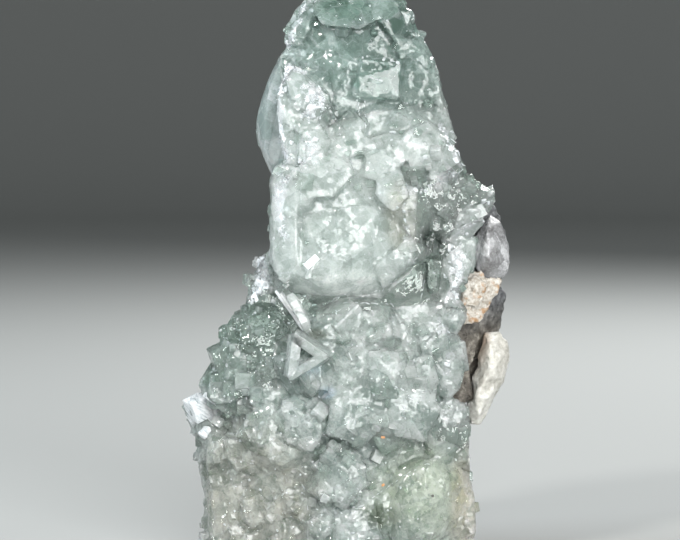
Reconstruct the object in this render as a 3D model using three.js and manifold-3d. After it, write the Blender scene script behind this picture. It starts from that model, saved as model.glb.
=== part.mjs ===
// A standing fluorite specimen: a column of intergrown, partly dissolved cubes.
// Its right edge still carries a strip of dark sulphide matrix, and on that sit
// a smoky calcite crystal, a tan weathered crust and a cream calcite lump.
// Millimetres. +X is the specimen's right, +Y its back and +Z up; Z is 0 at the
// flat cut that it stands on. The finished group is moved so that its origin is
// under the middle of its box.
import * as THREE from "three";
import { ConvexGeometry } from "three/addons/geometries/ConvexGeometry.js";
import { mergeVertices } from "three/addons/utils/BufferGeometryUtils.js";
import Module from "manifold-3d";

const wasm = await Module();
wasm.setup();

// ---------------------------------------------------------------- dimensions
const SEAM = 0.3; // gap left where two minerals meet
const CORE_SIDES = 14;
const CORE_WANDER = 0.9; // how far a corner of the core strays from its ring
const FLOOR_BLOCK = 120; // wider than the specimen: what is cut away below Z 0
const BACK_TAPER = 0.68; // a crystal's hidden end against its visible one
const PEAK_RISE = 0.26; // of a plain crystal's peak, as a share of its half width
const PEAK_STRAY = 0.35; // of that peak from the middle, likewise
const SQUARENESS = 0.75; // of the column's section: 1 is an ellipse, less is nearer a box

// The massive fluorite inside the column, by height: [z, left, right, front, back].
const CORE_RINGS = [
  [0, -21, 18, -11.5, 12],
  [9, -21.5, 18.5, -12.8, 13.5],
  [18, -21.5, 17.5, -13.2, 14],
  [27, -20.5, 16.5, -13.2, 13],
  [34, -18, 16, -12.8, 12],
  [41, -14, 15, -11.6, 11.5],
  [48, -10.5, 16, -11.4, 11],
  [56, -10.5, 17, -10.4, 10.5],
  [63, -11, 15, -9.4, 10],
  [71, -12.5, 14, -8, 9],
  [79, -10, 12.5, -6.6, 8],
  [86, -7, 9.5, -4.8, 6],
  [90, -5, 7.5, -3, 4],
];

// ------------------------------------------------- the crystals of the front
// Each crystal is given by its outline as seen from the front, [x, z], by where
// its face and its hidden end lie along Y, by how its face leans (Y gained for
// each millimetre of X and of Z). Where the edges are worn, rim and inset say how
// far, along Y and across the face. Peaks, [x, y, z], raise a face with many facets;
// a face with no peaks and no worn edges rises to one peak of its own, unless flat.
const UPPER = [
  { // the clear crystal at the top
    outline: [[-6, 90.3], [-2, 91.8], [3, 92.4], [7.4, 91.4], [10.5, 88], [13.6, 80], [15.2, 72.5],
      [14, 64], [-8, 64], [-10.8, 79], [-8.6, 86.5]],
    front: -3.4, back: 8, lean: [0, 0.18],
    peaks: [[-5, -5.2, 86], [6, -4.8, 87], [-7, -7.2, 76], [1, -8, 80], [9, -6.4, 78],
      [-4, -8.4, 68], [10, -7.2, 68]],
  },
  { // its facet at the tip
    outline: [[-5.6, 88], [-4.6, 90.6], [-0.6, 92], [4.4, 91.6], [6, 87], [2.3, 85], [-4, 85.6]],
    flat: true, front: -6.4, back: 4, lean: [0, 0.9],
  },
  {
    outline: [[5.6, 91.2], [8.9, 90.4], [10.9, 87.4], [10.9, 85], [7.5, 83.2], [4.8, 87]],
    front: -5.6, back: 6, lean: [0.45, 0.3],
  },
  { // frosted edge, upper left
    outline: [[-6, 90.2], [-8, 88.2], [-9.1, 86.6], [-8.6, 84.8], [-10.1, 82.9], [-7, 82.6], [-5, 88.5]],
    front: -5.2, back: 4, lean: [-0.6, 0.15],
  },
  { // smooth clear rim, left
    outline: [[-10.3, 82], [-12.3, 78], [-13.8, 74], [-14.6, 70.5], [-14.4, 67.5], [-13.6, 65],
      [-12, 61.4], [-10.2, 62.5], [-9, 70], [-9, 78]],
    front: -5.2, back: 6, rim: 3, inset: 2, lean: [-0.15, 0],
  },
  { // frosted mass in front of the rim
    outline: [[-9.4, 79], [-7, 78.6], [-3, 75], [-2.2, 71.5], [-0.4, 67], [-2, 63], [-8.5, 62.5],
      [-10.6, 68], [-11.3, 74.6]],
    front: -10, back: 0, lean: [0.08, 0.15],
  },
  {
    outline: [[-7.6, 75.2], [-5.2, 76.2], [-2.6, 74.8], [-2.7, 72.2], [-5, 70.8], [-7.4, 72.2]],
    front: -11.8, back: -6, lean: [0, 0],
  },
  {
    outline: [[-9.9, 77.2], [-8.6, 79.4], [-5.4, 76.2], [-6.2, 74], [-8.8, 73.8]],
    flat: true, front: -10.9, back: -6, lean: [0.08, 0.52],
  },
  {
    outline: [[-10.8, 74.5], [-8.2, 74], [-6.8, 71], [-7.6, 66.5], [-10.2, 66]],
    front: -11, back: -6, lean: [-0.22, 0],
  },
  {
    outline: [[-7.8, 70.5], [-4.6, 71], [-2.4, 67.6], [-3.6, 63.6], [-7.6, 64]],
    front: -12.4, back: -6, lean: [0.15, 0.22],
  },
  { // square crystal in the clear face
    outline: [[2.4, 80.6], [9.1, 79.8], [8.4, 73.8], [0.8, 74.4]],
    flat: true, front: -8.6, back: -2, lean: [0.09, 0.03],
  },
  {
    outline: [[7.6, 84], [11.6, 83.4], [13, 78], [13.6, 72.6], [9.2, 72.6], [8.7, 79.4]],
    flat: true, front: -6.8, back: -1, lean: [0.36, 0.06],
  },
  {
    outline: [[10.8, 84.6], [12.2, 84.2], [13.9, 81.4], [14.4, 77.5], [15.7, 72], [17.1, 68],
      [17.7, 66.6], [13, 65], [11.6, 75]],
    front: -4.2, back: 5, lean: [0.45, 0],
  },
  { // milky band under the clear crystal
    outline: [[-1.5, 69.5], [4, 73.4], [9, 73], [15.4, 69.4], [17.8, 66.4], [18.4, 63.6],
      [19.3, 62.2], [15, 58], [3, 59], [-2, 63]],
    front: -9.4, back: 4, rim: 1.2, inset: 1, lean: [0.12, 0.18],
  },
  {
    outline: [[-2.4, 70.2], [0.8, 72.4], [3.6, 69.6], [2.4, 65.2], [-2, 64.4]],
    front: -10.8, back: -4, lean: [-0.08, 0.3],
  },
  {
    outline: [[9, 69], [12.8, 70.4], [16, 67.6], [15, 63.4], [10, 62.8]],
    front: -10.9, back: -4, lean: [0.3, 0.15],
  },
  {
    outline: [[3.2, 68], [8, 69.4], [9.6, 64.6], [7, 60.4], [2.6, 61.6]],
    front: -11.8, back: -4, lean: [0, 0.24],
  },
  {
    outline: [[13.6, 66.8], [17.4, 66.4], [18.8, 62.6], [15.6, 60], [12.8, 62.4]],
    front: -9.6, back: -2, lean: [0.38, 0.15],
  },
];

const MIDDLE = [
  { // the lobe that overhangs the lower cluster
    outline: [[-8.5, 64], [0.5, 63.8], [5.5, 59.6], [9, 55.6], [11, 50], [9, 47.2], [6, 43.8],
      [0.7, 42.2], [-3, 41.7], [-7.5, 42.2], [-10.3, 44], [-11.5, 46.5], [-12, 52], [-11.8, 59]],
    front: -10.6, back: 0, lean: [0, 0.06],
    peaks: [[-7, -13.8, 59], [0, -13.6, 60.4], [4.4, -14.4, 56], [6.4, -14.6, 51], [1.6, -16.6, 50.6],
      [-5.4, -16.4, 50], [-7.6, -15.6, 46.6], [-3, -16.2, 45.2], [3.4, -15, 46.2]],
  },
  { // frosted column down its left edge
    outline: [[-12.2, 61.5], [-11, 63.8], [-7.6, 63.4], [-7.3, 47.5], [-9.8, 44], [-11.3, 46.3],
      [-12, 50.5], [-12.3, 57]],
    front: -14.2, back: 0, rim: 1.4, inset: 0.8, lean: [-0.68, 0],
  },
  { // its upper ledge
    outline: [[-7.6, 63.6], [-2, 65.4], [1.6, 62.6], [-2, 58.6], [-6.8, 58.4]],
    front: -14.4, back: -6, lean: [0.15, 0.45],
  },
  {
    outline: [[4, 62.6], [9, 64], [13.6, 62], [14.2, 57.5], [13.4, 51], [11, 49.6], [8, 53], [4.8, 58]],
    front: -9.4, back: 0, lean: [0.24, 0.15],
    peaks: [[7, -12.6, 60], [11, -12.2, 59.6], [12, -12.6, 54.6], [10.4, -13.4, 53]],
  },
  {
    outline: [[5, 62.4], [9, 62.8], [9.8, 59], [7.4, 56.2], [4.2, 59]],
    front: -14, back: -6, lean: [-0.3, 0.45],
  },
  { // bright little plate
    outline: [[-6.6, 46.4], [-5.6, 48.9], [-4.6, 48.7], [-5.3, 46], [-6.2, 45.7]],
    flat: true, front: -17, back: -12, lean: [0.08, 0.3],
  },
  {
    outline: [[5.6, 43.7], [9, 47], [12.6, 49.4], [13.5, 50.8], [9.4, 52.4], [4.6, 48]],
    front: -13.8, back: -6, lean: [0.45, -0.45],
  },
];

const SHOULDER = [
  {
    outline: [[13, 60], [15, 62], [19.2, 62.4], [23.2, 59.8], [24.2, 58.2], [23.5, 56.4], [20, 53.5],
      [15.5, 51], [13, 52.5]],
    front: -8, back: 5, rim: 1.2, inset: 1, lean: [0.18, 0.18],
  },
  {
    outline: [[13.2, 59], [15.2, 60.8], [18.4, 59.6], [17.6, 56.4], [14.4, 55.4]],
    front: -9.7, back: -3, lean: [-0.15, 0.3],
  },
  {
    outline: [[18.4, 61.8], [22.6, 59.6], [23.9, 57.9], [21, 55.6], [18, 56.6]],
    front: -9, back: -3, lean: [0.3, 0.42],
  },
  {
    outline: [[15.2, 55.8], [20.4, 56], [22.2, 54.2], [19.2, 51.6], [15.6, 51]],
    front: -9.3, back: -3, lean: [0.15, -0.3],
  },
  { // white patch below it
    outline: [[15, 50.5], [17.5, 51.8], [20.6, 52], [20.4, 47.5], [19.6, 44.5], [18.2, 42], [16.2, 41.6],
      [14.6, 46]],
    front: -9.2, back: 2, lean: [0.15, 0],
  },
  {
    outline: [[15.4, 49.4], [18, 50.4], [20, 48.4], [19.2, 44.8], [16.4, 44]],
    front: -10.8, back: -4, lean: [0.08, 0.15],
  },
  { // clear facet between the lobe and the patch
    outline: [[6.3, 41.4], [8.8, 47], [11.4, 49.4], [15.2, 48.6], [15.4, 46], [13.8, 42.6], [12, 41]],
    flat: true, front: -10.2, back: 0, lean: [0.03, 0.38],
  },
  {
    outline: [[12.9, 49], [15.4, 48.4], [15.6, 45.4], [14.4, 42.4], [12.7, 44.4]],
    flat: true, front: -11, back: -4, lean: [0.52, 0.08],
  },
];

const LOWER_LEFT = [
  { // frosted shelf
    outline: [[-13.3, 49.3], [-11.9, 49.8], [-11, 46], [-9.5, 43], [-13.5, 41.2], [-16.3, 41.3],
      [-15.4, 43.8], [-14.6, 46.6]],
    front: -7.4, back: 3, lean: [-0.15, 0.22],
  },
  {
    outline: [[-15.2, 44.6], [-11.4, 45.6], [-9.6, 43.2], [-12, 40.6], [-16, 41.6]],
    front: -8.9, back: -2, lean: [0, 0.6],
  },
  { // ridged crystal under the shelf
    outline: [[-18.3, 39.3], [-16, 41.2], [-13.5, 41.6], [-10, 40.5], [-8.8, 36], [-12, 33],
      [-17.5, 30.6], [-21.8, 31.6], [-20.7, 34], [-19.4, 37.2]],
    front: -9.6, back: 4, rim: 1.3, inset: 1, lean: [-0.12, 0.3],
  },
  {
    outline: [[-17.8, 38.8], [-13.4, 40.8], [-10.2, 38.6], [-11.8, 35], [-16.4, 35.4]],
    front: -11.2, back: -4, lean: [0, 0.6],
  },
  {
    outline: [[-19.6, 35.8], [-16.2, 36.6], [-13.6, 33.6], [-15.6, 31.2], [-20, 32.2]],
    front: -11.3, back: -4, lean: [-0.15, 0.3],
  },
  {
    outline: [[-13.8, 34.8], [-11, 36], [-9.2, 33], [-10.6, 30.4], [-13.6, 31]],
    front: -12.4, back: -4, lean: [0.08, 0.15],
  },
  { // flat-faced crystal at the widest part
    outline: [[-23.6, 29.2], [-21.6, 31], [-17, 31.6], [-13.6, 29], [-12.6, 26], [-16.5, 24.2],
      [-21.8, 25], [-23.3, 27]],
    front: -10.2, back: 3, lean: [-0.22, 0.15],
  },
  {
    outline: [[-21.8, 30.4], [-17.2, 31.4], [-15.8, 28], [-18.4, 25.6], [-22, 26.4]],
    flat: true, front: -11.8, back: -4, lean: [-0.18, 0.18],
  },
  {
    outline: [[-15.8, 30.6], [-12, 31.6], [-9.8, 28.2], [-11.4, 25], [-15.2, 25.4]],
    front: -12.8, back: -4, lean: [0, 0.15],
  },
  { // striated tongue that hangs from the lobe
    outline: [[-12, 42.6], [-10.4, 43.9], [-5.2, 36.4], [-6, 35.1], [-7.6, 35.9]],
    flat: true, front: -15.6, back: -10, lean: [0.15, 0.15],
  },
  {
    outline: [[-9.4, 43.2], [-7.4, 41.8], [-4.9, 37], [-5.8, 36.2]],
    flat: true, front: -16, back: -10, lean: [0.3, 0.15],
  },
  {
    outline: [[-17, 25.5], [-7.5, 27.3], [-2.6, 21.3], [-4.2, 14], [-14, 13.6], [-18.4, 18.5]],
    front: -10, back: 0, lean: [-0.08, 0],
    peaks: [[-14, -13.2, 23], [-7.4, -14.6, 24.6], [-5.6, -15.2, 19.6], [-10, -14.6, 16.4],
      [-14.6, -12.8, 17.6]],
  },
  {
    outline: [[-16.4, 24.6], [-11.6, 25.8], [-8.8, 21.6], [-11.4, 17.4], [-15.8, 18.8]],
    front: -14, back: -6, lean: [-0.15, 0.08],
  },
  {
    outline: [[-10.2, 26.8], [-5, 27.4], [-2.8, 22.6], [-5.4, 18.4], [-9.6, 20]],
    front: -15.3, back: -6, lean: [0, 0.15],
  },
  {
    outline: [[-22.6, 20.6], [-17.5, 20.4], [-13.5, 15], [-6, 14], [-5, 4], [-8, -2], [-21.6, -2],
      [-21.8, 5], [-22.2, 9], [-22.4, 15]],
    front: -10.6, back: 6, rim: 1.8, inset: 1.4, lean: [-0.15, 0],
  },
];

const LOWER_RIGHT = [
  { // blocks under the lobe
    outline: [[-7, 37.6], [-3, 41.8], [0.7, 42.8], [6, 42.6], [8.8, 41.4], [8.6, 36.4], [0, 35.4],
      [-5, 33.6]],
    front: -12.6, back: 0, lean: [0, 0.3],
  },
  {
    outline: [[-6.6, 36.8], [-2.8, 41], [1, 39.6], [2.2, 36], [-3.4, 33.6]],
    front: -13.9, back: -6, lean: [0.12, 0.3],
  },
  {
    outline: [[1.4, 40.8], [6.4, 41.4], [7.6, 37], [2.4, 36.2]],
    front: -13.8, back: -6, lean: [0, 0.38],
  },
  {
    outline: [[8.3, 41.6], [13.5, 43], [15.4, 42], [18, 37.4], [13.7, 33.6], [8.6, 34.6]],
    front: -11.8, back: 0, lean: [0.15, 0.15],
  },
  {
    outline: [[11, 38.8], [15.6, 39.2], [16.2, 34.6], [11.8, 33.8]],
    flat: true, front: -13.2, back: -6, lean: [0.15, 0.15],
  },
  {
    outline: [[14.2, 43.4], [18, 42.4], [19.2, 39.4], [17.4, 36.8], [14.6, 39]],
    front: -12, back: -2, lean: [0.22, 0.3],
  },
  {
    outline: [[13.4, 34.2], [17, 36.4], [18.6, 35.4], [18.7, 31], [18.3, 28.6], [16.2, 26.2], [12, 29.4]],
    front: -11.8, back: 2, lean: [0.27, 0],
  },
  {
    outline: [[-4.4, 35.6], [8.8, 36.4], [12.8, 31], [15.6, 25], [9, 17.8], [-2.6, 19], [-6.9, 27]],
    front: -11.4, back: 0, lean: [0, 0],
    peaks: [[-2.4, -14.8, 32.6], [5, -14.8, 33.2], [9, -15, 29.6], [4, -17, 28], [-2.8, -16.2, 26.8],
      [11, -15.4, 24.6], [6.4, -16.8, 22.4], [0, -16.4, 22]],
  },
  {
    outline: [[-4, 34.4], [2, 35.4], [4.2, 31.4], [1, 27.4], [-4.4, 28.4]],
    front: -16, back: -8, lean: [0, 0.15],
  },
  {
    outline: [[3.2, 35], [9, 34.6], [11.6, 30.4], [8, 26.4], [3.4, 28]],
    front: -16.2, back: -8, lean: [0.18, 0.12],
  },
  {
    outline: [[-2.4, 27.2], [4.6, 28.4], [7.2, 23.6], [2.6, 19.2], [-3.2, 21.4]],
    front: -17, back: -8, lean: [0, 0.03],
  },
  {
    outline: [[6.4, 27], [12.2, 29.4], [15.2, 25.6], [12.2, 20.2], [7.4, 21.2]],
    front: -16.4, back: -8, lean: [0.18, 0],
  },
  {
    outline: [[10.6, 33.6], [13.6, 34], [14.8, 29.2], [11.4, 27.8]],
    front: -14.6, back: -6, lean: [0.22, 0.08],
  },
  {
    outline: [[12.6, 25.4], [16.2, 26.6], [19, 25.8], [19.8, 22], [19.7, 18.6], [19, 16.2], [15, 15.6],
      [12.3, 20]],
    front: -11.4, back: 2, lean: [0.27, 0],
  },
  { // smooth rounded crystal at the lower right
    outline: [[6.3, 13.8], [8.8, 17], [13.7, 18.9], [17.6, 17.5], [19, 13.8], [19.1, 9], [17, 4.6],
      [13.7, 2], [8.8, 1.2], [5.3, 4], [4.6, 9]],
    front: -10.4, back: 0, lean: [0.06, 0],
    peaks: [[8, -14.4, 13.6], [12.4, -14.6, 16.2], [16, -13.6, 14], [16.8, -13.2, 9.4], [13, -16.4, 11.4],
      [9.4, -16.2, 7.4], [13.6, -14.8, 5], [8, -14.6, 3.6]],
  },
  { // slab behind it
    outline: [[17.2, 16.2], [19.4, 15.6], [20.4, 11], [20.7, 7.5], [20.1, 2.5], [19.6, -2], [13, -2],
      [15, 8]],
    flat: true, front: -10, back: 4, lean: [0.15, 0],
  },
  {
    outline: [[-2.6, 18.8], [6.3, 17.4], [7.4, 9], [6.3, -2], [-3, -2], [-7, 4], [-5.6, 14]],
    front: -13.8, back: 0, rim: 1.2, inset: 1, lean: [0, 0],
  },
  {
    outline: [[-4.4, 18.4], [1.6, 19], [3.8, 13.6], [-0.6, 9.4], [-5, 12]],
    front: -15.4, back: -6, lean: [0, 0.08],
  },
  {
    outline: [[-1.4, 9.2], [4.6, 10.8], [5.8, 4.2], [2, -2], [-3, -2]],
    front: -14.9, back: -6, lean: [0, 0],
  },
  {
    outline: [[3, -2], [5, 3.4], [10, 4], [15, 3.4], [17, -2]],
    flat: true, front: -13.4, back: -4, lean: [0, -0.15],
  },
];

// Cubes that stand free enough to show their own edges.
const FREE_CUBES = [
  { at: [-6.6, -14, 31.7], edges: [6, 6.4, 6.6], turn: [10, -24, 42], worn: 0.07 },
  { at: [-23.3, -5, 23.5], edges: [4.6, 5, 4.6], turn: [14, -22, 24], worn: 0.08 },
  { at: [-22.6, -4.6, 20.4], edges: [4, 4.4, 3.4], turn: [-8, 30, 12] },
  { at: [-21.2, -4.4, 17.2], edges: [4.6, 5, 4.4], turn: [10, 12, 30] },
  { at: [-20.8, -5, 12], edges: [4.2, 5.6, 5.6], turn: [4, -6, 18] },
  { at: [-20.2, -4.8, 6.4], edges: [4.4, 5, 4.8], turn: [-6, 14, 34] },
  { at: [-21.2, -4.4, 1.8], edges: [4.2, 5.6, 4.4], turn: [6, -8, 14] },
];

// ------------------------------------------------------- the other minerals
const MATRIX = [
  {
    outline: [[16, 58], [22, 58.2], [24.3, 56.8], [25.8, 53], [26.6, 50], [26.4, 47], [25, 44],
      [18, 41], [14, 45]],
    front: -1.8, back: 6, lean: [0.3, 0],
    peaks: [[19, -4.4, 54], [23.4, -3.2, 52], [22, -4.6, 46], [25.6, 3.4, 51], [24.6, 5.4, 46],
      [22, 9.6, 53], [18, 10.6, 47]],
  },
  {
    outline: [[14, 46], [22, 46], [25.2, 44.4], [26.1, 42.6], [25.3, 39.4], [24.8, 35.4], [22, 30],
      [18, 25.4], [14, 27]],
    front: -2.6, back: 5, lean: [0.25, 0],
    peaks: [[20, -5.6, 42], [23, -5, 40], [21.4, -5, 34], [24.6, 2, 41], [23.4, 5.4, 36],
      [21, 8.6, 40], [18, 8, 31]],
  },
  {
    outline: [[17, 40.4], [20.6, 41], [21.6, 36], [20, 30], [17.4, 27]],
    flat: true, front: -6.4, back: 0, lean: [0.25, 0.05],
  },
  {
    outline: [[15.6, 29.6], [19.8, 30.4], [20.6, 26.4], [18.4, 24.8], [15.4, 26.4]],
    front: -7.6, back: 0, lean: [0.15, 0.15],
  },
];

const SMOKY_CALCITE = [
  {
    outline: [[20.4, 51.6], [23, 55.6], [25, 54.4], [26.1, 51], [26.5, 48.5], [25.6, 45.6],
      [22.8, 44.6], [20.6, 47]],
    front: -5.6, back: 0, lean: [0.15, 0.15],
    peaks: [[22.4, -8.2, 53], [24.2, -7.8, 51], [22.6, -9, 48.6], [24.6, -7.6, 47]],
  },
];

const TAN_CRUST = [
  {
    outline: [[17.8, 42], [19.6, 46.4], [23.6, 47], [25, 44.8], [22.6, 41.4], [21.4, 38.6], [18.8, 38.2]],
    front: -8.2, back: -1, lean: [0.15, 0.15],
  },
  {
    outline: [[18.6, 44.6], [20.6, 46], [22.6, 44.4], [21, 41], [18.6, 41.4]],
    front: -9.2, back: -4, lean: [0, 0.15],
  },
];

const CREAM_CALCITE = [
  {
    outline: [[22.2, 36.6], [24.6, 36.8], [25.8, 35.3], [26.4, 32.4], [25.4, 28.6], [24, 27],
      [21, 28.5], [21, 33]],
    front: -6.6, back: 1, lean: [0.08, 0.08],
    peaks: [[23, -9, 34.6], [24.8, -8.2, 33], [23.2, -10, 31.4], [22.4, -9.6, 29.4], [24.4, -8.6, 29.4]],
  },
  {
    outline: [[21, 31.5], [25.4, 29.5], [24.6, 27.2], [22.9, 23.8], [21.6, 21.6], [19.9, 21.5],
      [19.3, 24], [19.5, 27]],
    front: -6.4, back: 0, lean: [0.08, 0],
    peaks: [[22, -9.6, 29], [23.6, -8.6, 27.6], [20.8, -9.2, 26.4], [21.4, -8.8, 23.8]],
  },
];

// --------------------------------------------------------------- small tools
function seeded(seed) {
  let state = seed;
  return () => {
    state = (state + 0x6d2b79f5) | 0;
    let t = Math.imul(state ^ (state >>> 15), 1 | state);
    t = (t + Math.imul(t ^ (t >>> 7), 61 | t)) ^ t;
    return ((t ^ (t >>> 14)) >>> 0) / 4294967296;
  };
}

const spread = (random, amount) => (random() * 2 - 1) * amount;
const between = (random, low, high) => low + random() * (high - low);

function solidOf(geometry) {
  const bare = geometry.clone();
  bare.deleteAttribute("normal");
  bare.deleteAttribute("uv");
  const merged = mergeVertices(bare, 1e-4);
  return new wasm.Manifold(
    new wasm.Mesh({
      numProp: 3,
      vertProperties: new Float32Array(merged.attributes.position.array),
      triVerts: new Uint32Array(merged.index.array),
    }),
  );
}

function geometryOf(solid) {
  const { vertProperties, triVerts } = solid.getMesh();
  const geometry = new THREE.BufferGeometry();
  geometry.setAttribute("position", new THREE.BufferAttribute(vertProperties, 3));
  geometry.setIndex(new THREE.BufferAttribute(triVerts, 1));
  geometry.computeVertexNormals();
  return geometry;
}

const join = (solids) => solids.reduce((whole, piece) => whole.add(piece));

// The biggest closed skin: pockets shut in between crystals are filled, and
// chips that a cut leaves loose are dropped.
const mainBody = (solid) =>
  solid.decompose().reduce((best, body) => (body.volume() > best.volume() ? body : best));

// ------------------------------------------------------------ crystal shapes
const centreOf = (outline) =>
  [0, 1].map((axis) => outline.reduce((sum, point) => sum + point[axis], 0) / outline.length);

// Y of a crystal's leaning face at a place in the front view.
function faceAt({ outline, front, lean }, x, z) {
  const [cx, cz] = centreOf(outline);
  return front + lean[0] * (x - cx) + lean[1] * (z - cz);
}

// Where a plain crystal's faces meet in front: off its middle, by its own outline's hash.
function ownPeak({ outline, front, rim, flat }) {
  if (flat || rim) return [];
  const [cx, cz] = centreOf(outline);
  const reach = Math.hypot(outline[0][0] - cx, outline[0][1] - cz);
  const random = seeded(Math.round(Math.abs(cx * 131 + cz * 17)));
  const [x, z] = [cx + spread(random, PEAK_STRAY * reach), cz + spread(random, PEAK_STRAY * reach)];
  return [[x, front - PEAK_RISE * reach, z]];
}

// A crystal from its outline in the front view; grow swells it on every side.
function fromOutline(crystal, grow = 0) {
  const { outline, back, rim = 0, inset = 0, peaks = ownPeak(crystal) } = crystal;
  const [cx, cz] = centreOf(outline);
  const points = peaks.map(([x, y, z]) => new THREE.Vector3(x, y - grow, z));
  for (const [x, z] of outline) {
    const reach = Math.hypot(x - cx, z - cz);
    const at = (share) => [cx + (x - cx) * share, cz + (z - cz) * share];
    const edge = at(1 + grow / reach);
    const hidden = at(BACK_TAPER + grow / reach);
    points.push(
      new THREE.Vector3(edge[0], faceAt(crystal, ...edge) + rim - grow, edge[1]),
      new THREE.Vector3(hidden[0], back + grow, hidden[1]),
    );
    if (rim) {
      const face = at(1 + (grow - inset) / reach);
      points.push(new THREE.Vector3(face[0], faceAt(crystal, ...face) - grow, face[1]));
    }
  }
  return solidOf(new ConvexGeometry(points));
}

const turnOf = (degrees) =>
  new THREE.Quaternion().setFromEuler(new THREE.Euler(...degrees.map(THREE.MathUtils.degToRad)));

// A cube-like crystal whose edges are worn to narrow flats.
function cube({ at, edges, turn, worn = 0 }) {
  const half = edges.map((edge) => edge / 2);
  const flat = worn * Math.min(...edges);
  const corners = [];
  for (const sx of [-1, 1]) {
    for (const sy of [-1, 1]) {
      for (const sz of [-1, 1]) {
        const sign = [sx, sy, sz];
        for (const full of worn ? [0, 1, 2] : [0]) {
          const point = half.map((h, axis) => sign[axis] * (axis === full ? h : h - flat));
          corners.push(new THREE.Vector3(...point));
        }
      }
    }
  }
  const geometry = new ConvexGeometry(corners);
  geometry.applyQuaternion(turnOf(turn));
  geometry.translate(...at);
  return solidOf(geometry);
}

// --------------------------------------------------------- fluorite: the core
function coreAt(z) {
  const above = CORE_RINGS.findIndex((ring) => ring[0] >= z);
  const upper = above < 0 ? CORE_RINGS.length - 1 : Math.max(1, above);
  const [low, high] = [CORE_RINGS[upper - 1], CORE_RINGS[upper]];
  const share = THREE.MathUtils.clamp((z - low[0]) / (high[0] - low[0]), 0, 1);
  const [, left, right, front, back] = low.map((v, i) => THREE.MathUtils.lerp(v, high[i], share));
  return {
    centre: [(left + right) / 2, (front + back) / 2],
    half: [(right - left) / 2, (back - front) / 2],
  };
}

// A point on the core's skin by height and angle, 0 to the right and 90 degrees to the back.
function onCore(z, angle, out = 0) {
  const { centre, half } = coreAt(z);
  const [c, s] = [Math.cos(angle), Math.sin(angle)];
  return [
    centre[0] + Math.sign(c) * Math.abs(c) ** SQUARENESS * (half[0] + out),
    centre[1] + Math.sign(s) * Math.abs(s) ** SQUARENESS * (half[1] + out),
    z,
  ];
}

function coreSolid() {
  const random = seeded(11);
  const points = CORE_RINGS.flatMap(([z]) =>
    Array.from({ length: CORE_SIDES }, (_, side) => {
      const angle = ((side + spread(random, 0.3)) / CORE_SIDES) * Math.PI * 2;
      return new THREE.Vector3(...onCore(z, angle, spread(random, CORE_WANDER)));
    }),
  );
  const corner = (ring, side) => ring * CORE_SIDES + (side % CORE_SIDES);
  const top = CORE_RINGS.length - 1;
  const faces = [];
  for (let side = 0; side < CORE_SIDES; side++) {
    for (let ring = 0; ring < top; ring++) {
      const [a, b] = [corner(ring, side), corner(ring, side + 1)];
      const [c, d] = [corner(ring + 1, side + 1), corner(ring + 1, side)];
      faces.push(a, b, d, b, c, d);
    }
    if (side > 0 && side < CORE_SIDES - 1) {
      faces.push(corner(0, 0), corner(0, side + 1), corner(0, side));
      faces.push(corner(top, 0), corner(top, side), corner(top, side + 1));
    }
  }
  const geometry = new THREE.BufferGeometry().setFromPoints(points);
  geometry.setIndex(faces);
  return solidOf(geometry);
}

// ------------------------------------------- fluorite: crystals of the sides and back
// Parallel growth: the cubes in a stretch of the column share one setting.
const GROWTH = [
  { from: 0, to: 22, turn: [6, -14, 20] },
  { from: 22, to: 44, turn: [-4, 12, 36] },
  { from: 44, to: 64, turn: [8, -8, 14] },
  { from: 64, to: 95, turn: [-6, 10, 28] },
];

const settingAt = (z, random, stray) =>
  GROWTH.find(({ from, to }) => z >= from && z < to).turn.map((turn) => turn + spread(random, stray));

const ROWS = { from: 2.5, to: 84, step: 7.2 }; // heights of the rows of crystals
const TIP_FROM = 62; // height from which the column narrows to its tip
const EDGES = { side: [4.4, 6.4], back: [6.4, 10.5], tip: [4.4, 6.8] };
const SIDE_FROM = 0.75; // share of the way to a side at which side crystals start
const SUNK = { back: 0.3, side: 0.52 }; // share of a crystal that lies inside the core
const SIDE_PROUD = 1.2; // how much further the side crystals stand out
const PAST_SIDES = 0.1; // how far the rows run on to the front, as a share of half a turn
const IN_STEP = 9; // degrees that most crystals stray from the shared setting
const STRAY = { share: 0.3, turn: 45 }; // the rest stray this far
const BARE_RIM = { from: 56, to: 84, share: 0.88 }; // where the smooth left rim shows instead

function coverRow(z, random) {
  const { half } = coreAt(z);
  const count = Math.round((Math.PI * (half[0] + half[1])) / 2 / ROWS.step);
  const shares = Array.from({ length: count }, (_, i) => (i + 0.5 + spread(random, 0.25)) / count);
  const bare = z > BARE_RIM.from && z < BARE_RIM.to ? BARE_RIM.share : 1;
  return shares.filter((share) => share < bare).map((share) => {
    const angle = THREE.MathUtils.lerp(-PAST_SIDES, 1 + PAST_SIDES, share) * Math.PI;
    const atSide = Math.abs(Math.cos(angle));
    const place = z > TIP_FROM ? "tip" : atSide > SIDE_FROM ? "side" : "back";
    const size = between(random, ...EDGES[place]);
    const sunk = size * THREE.MathUtils.lerp(SUNK.back, SUNK.side, atSide) - SIDE_PROUD * atSide;
    return cube({
      at: onCore(z + spread(random, 1.5), angle, -sunk),
      edges: [size, size * between(random, 0.8, 1.1), size * between(random, 0.75, 1.1)],
      turn: settingAt(z, random, random() < STRAY.share ? STRAY.turn : IN_STEP),
    });
  });
}

function coverCrystals() {
  const random = seeded(2031);
  const count = Math.ceil((ROWS.to - ROWS.from) / ROWS.step);
  const heights = Array.from({ length: count }, (_, row) => ROWS.from + row * ROWS.step);
  return heights.flatMap((z) => coverRow(z, random));
}

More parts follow.
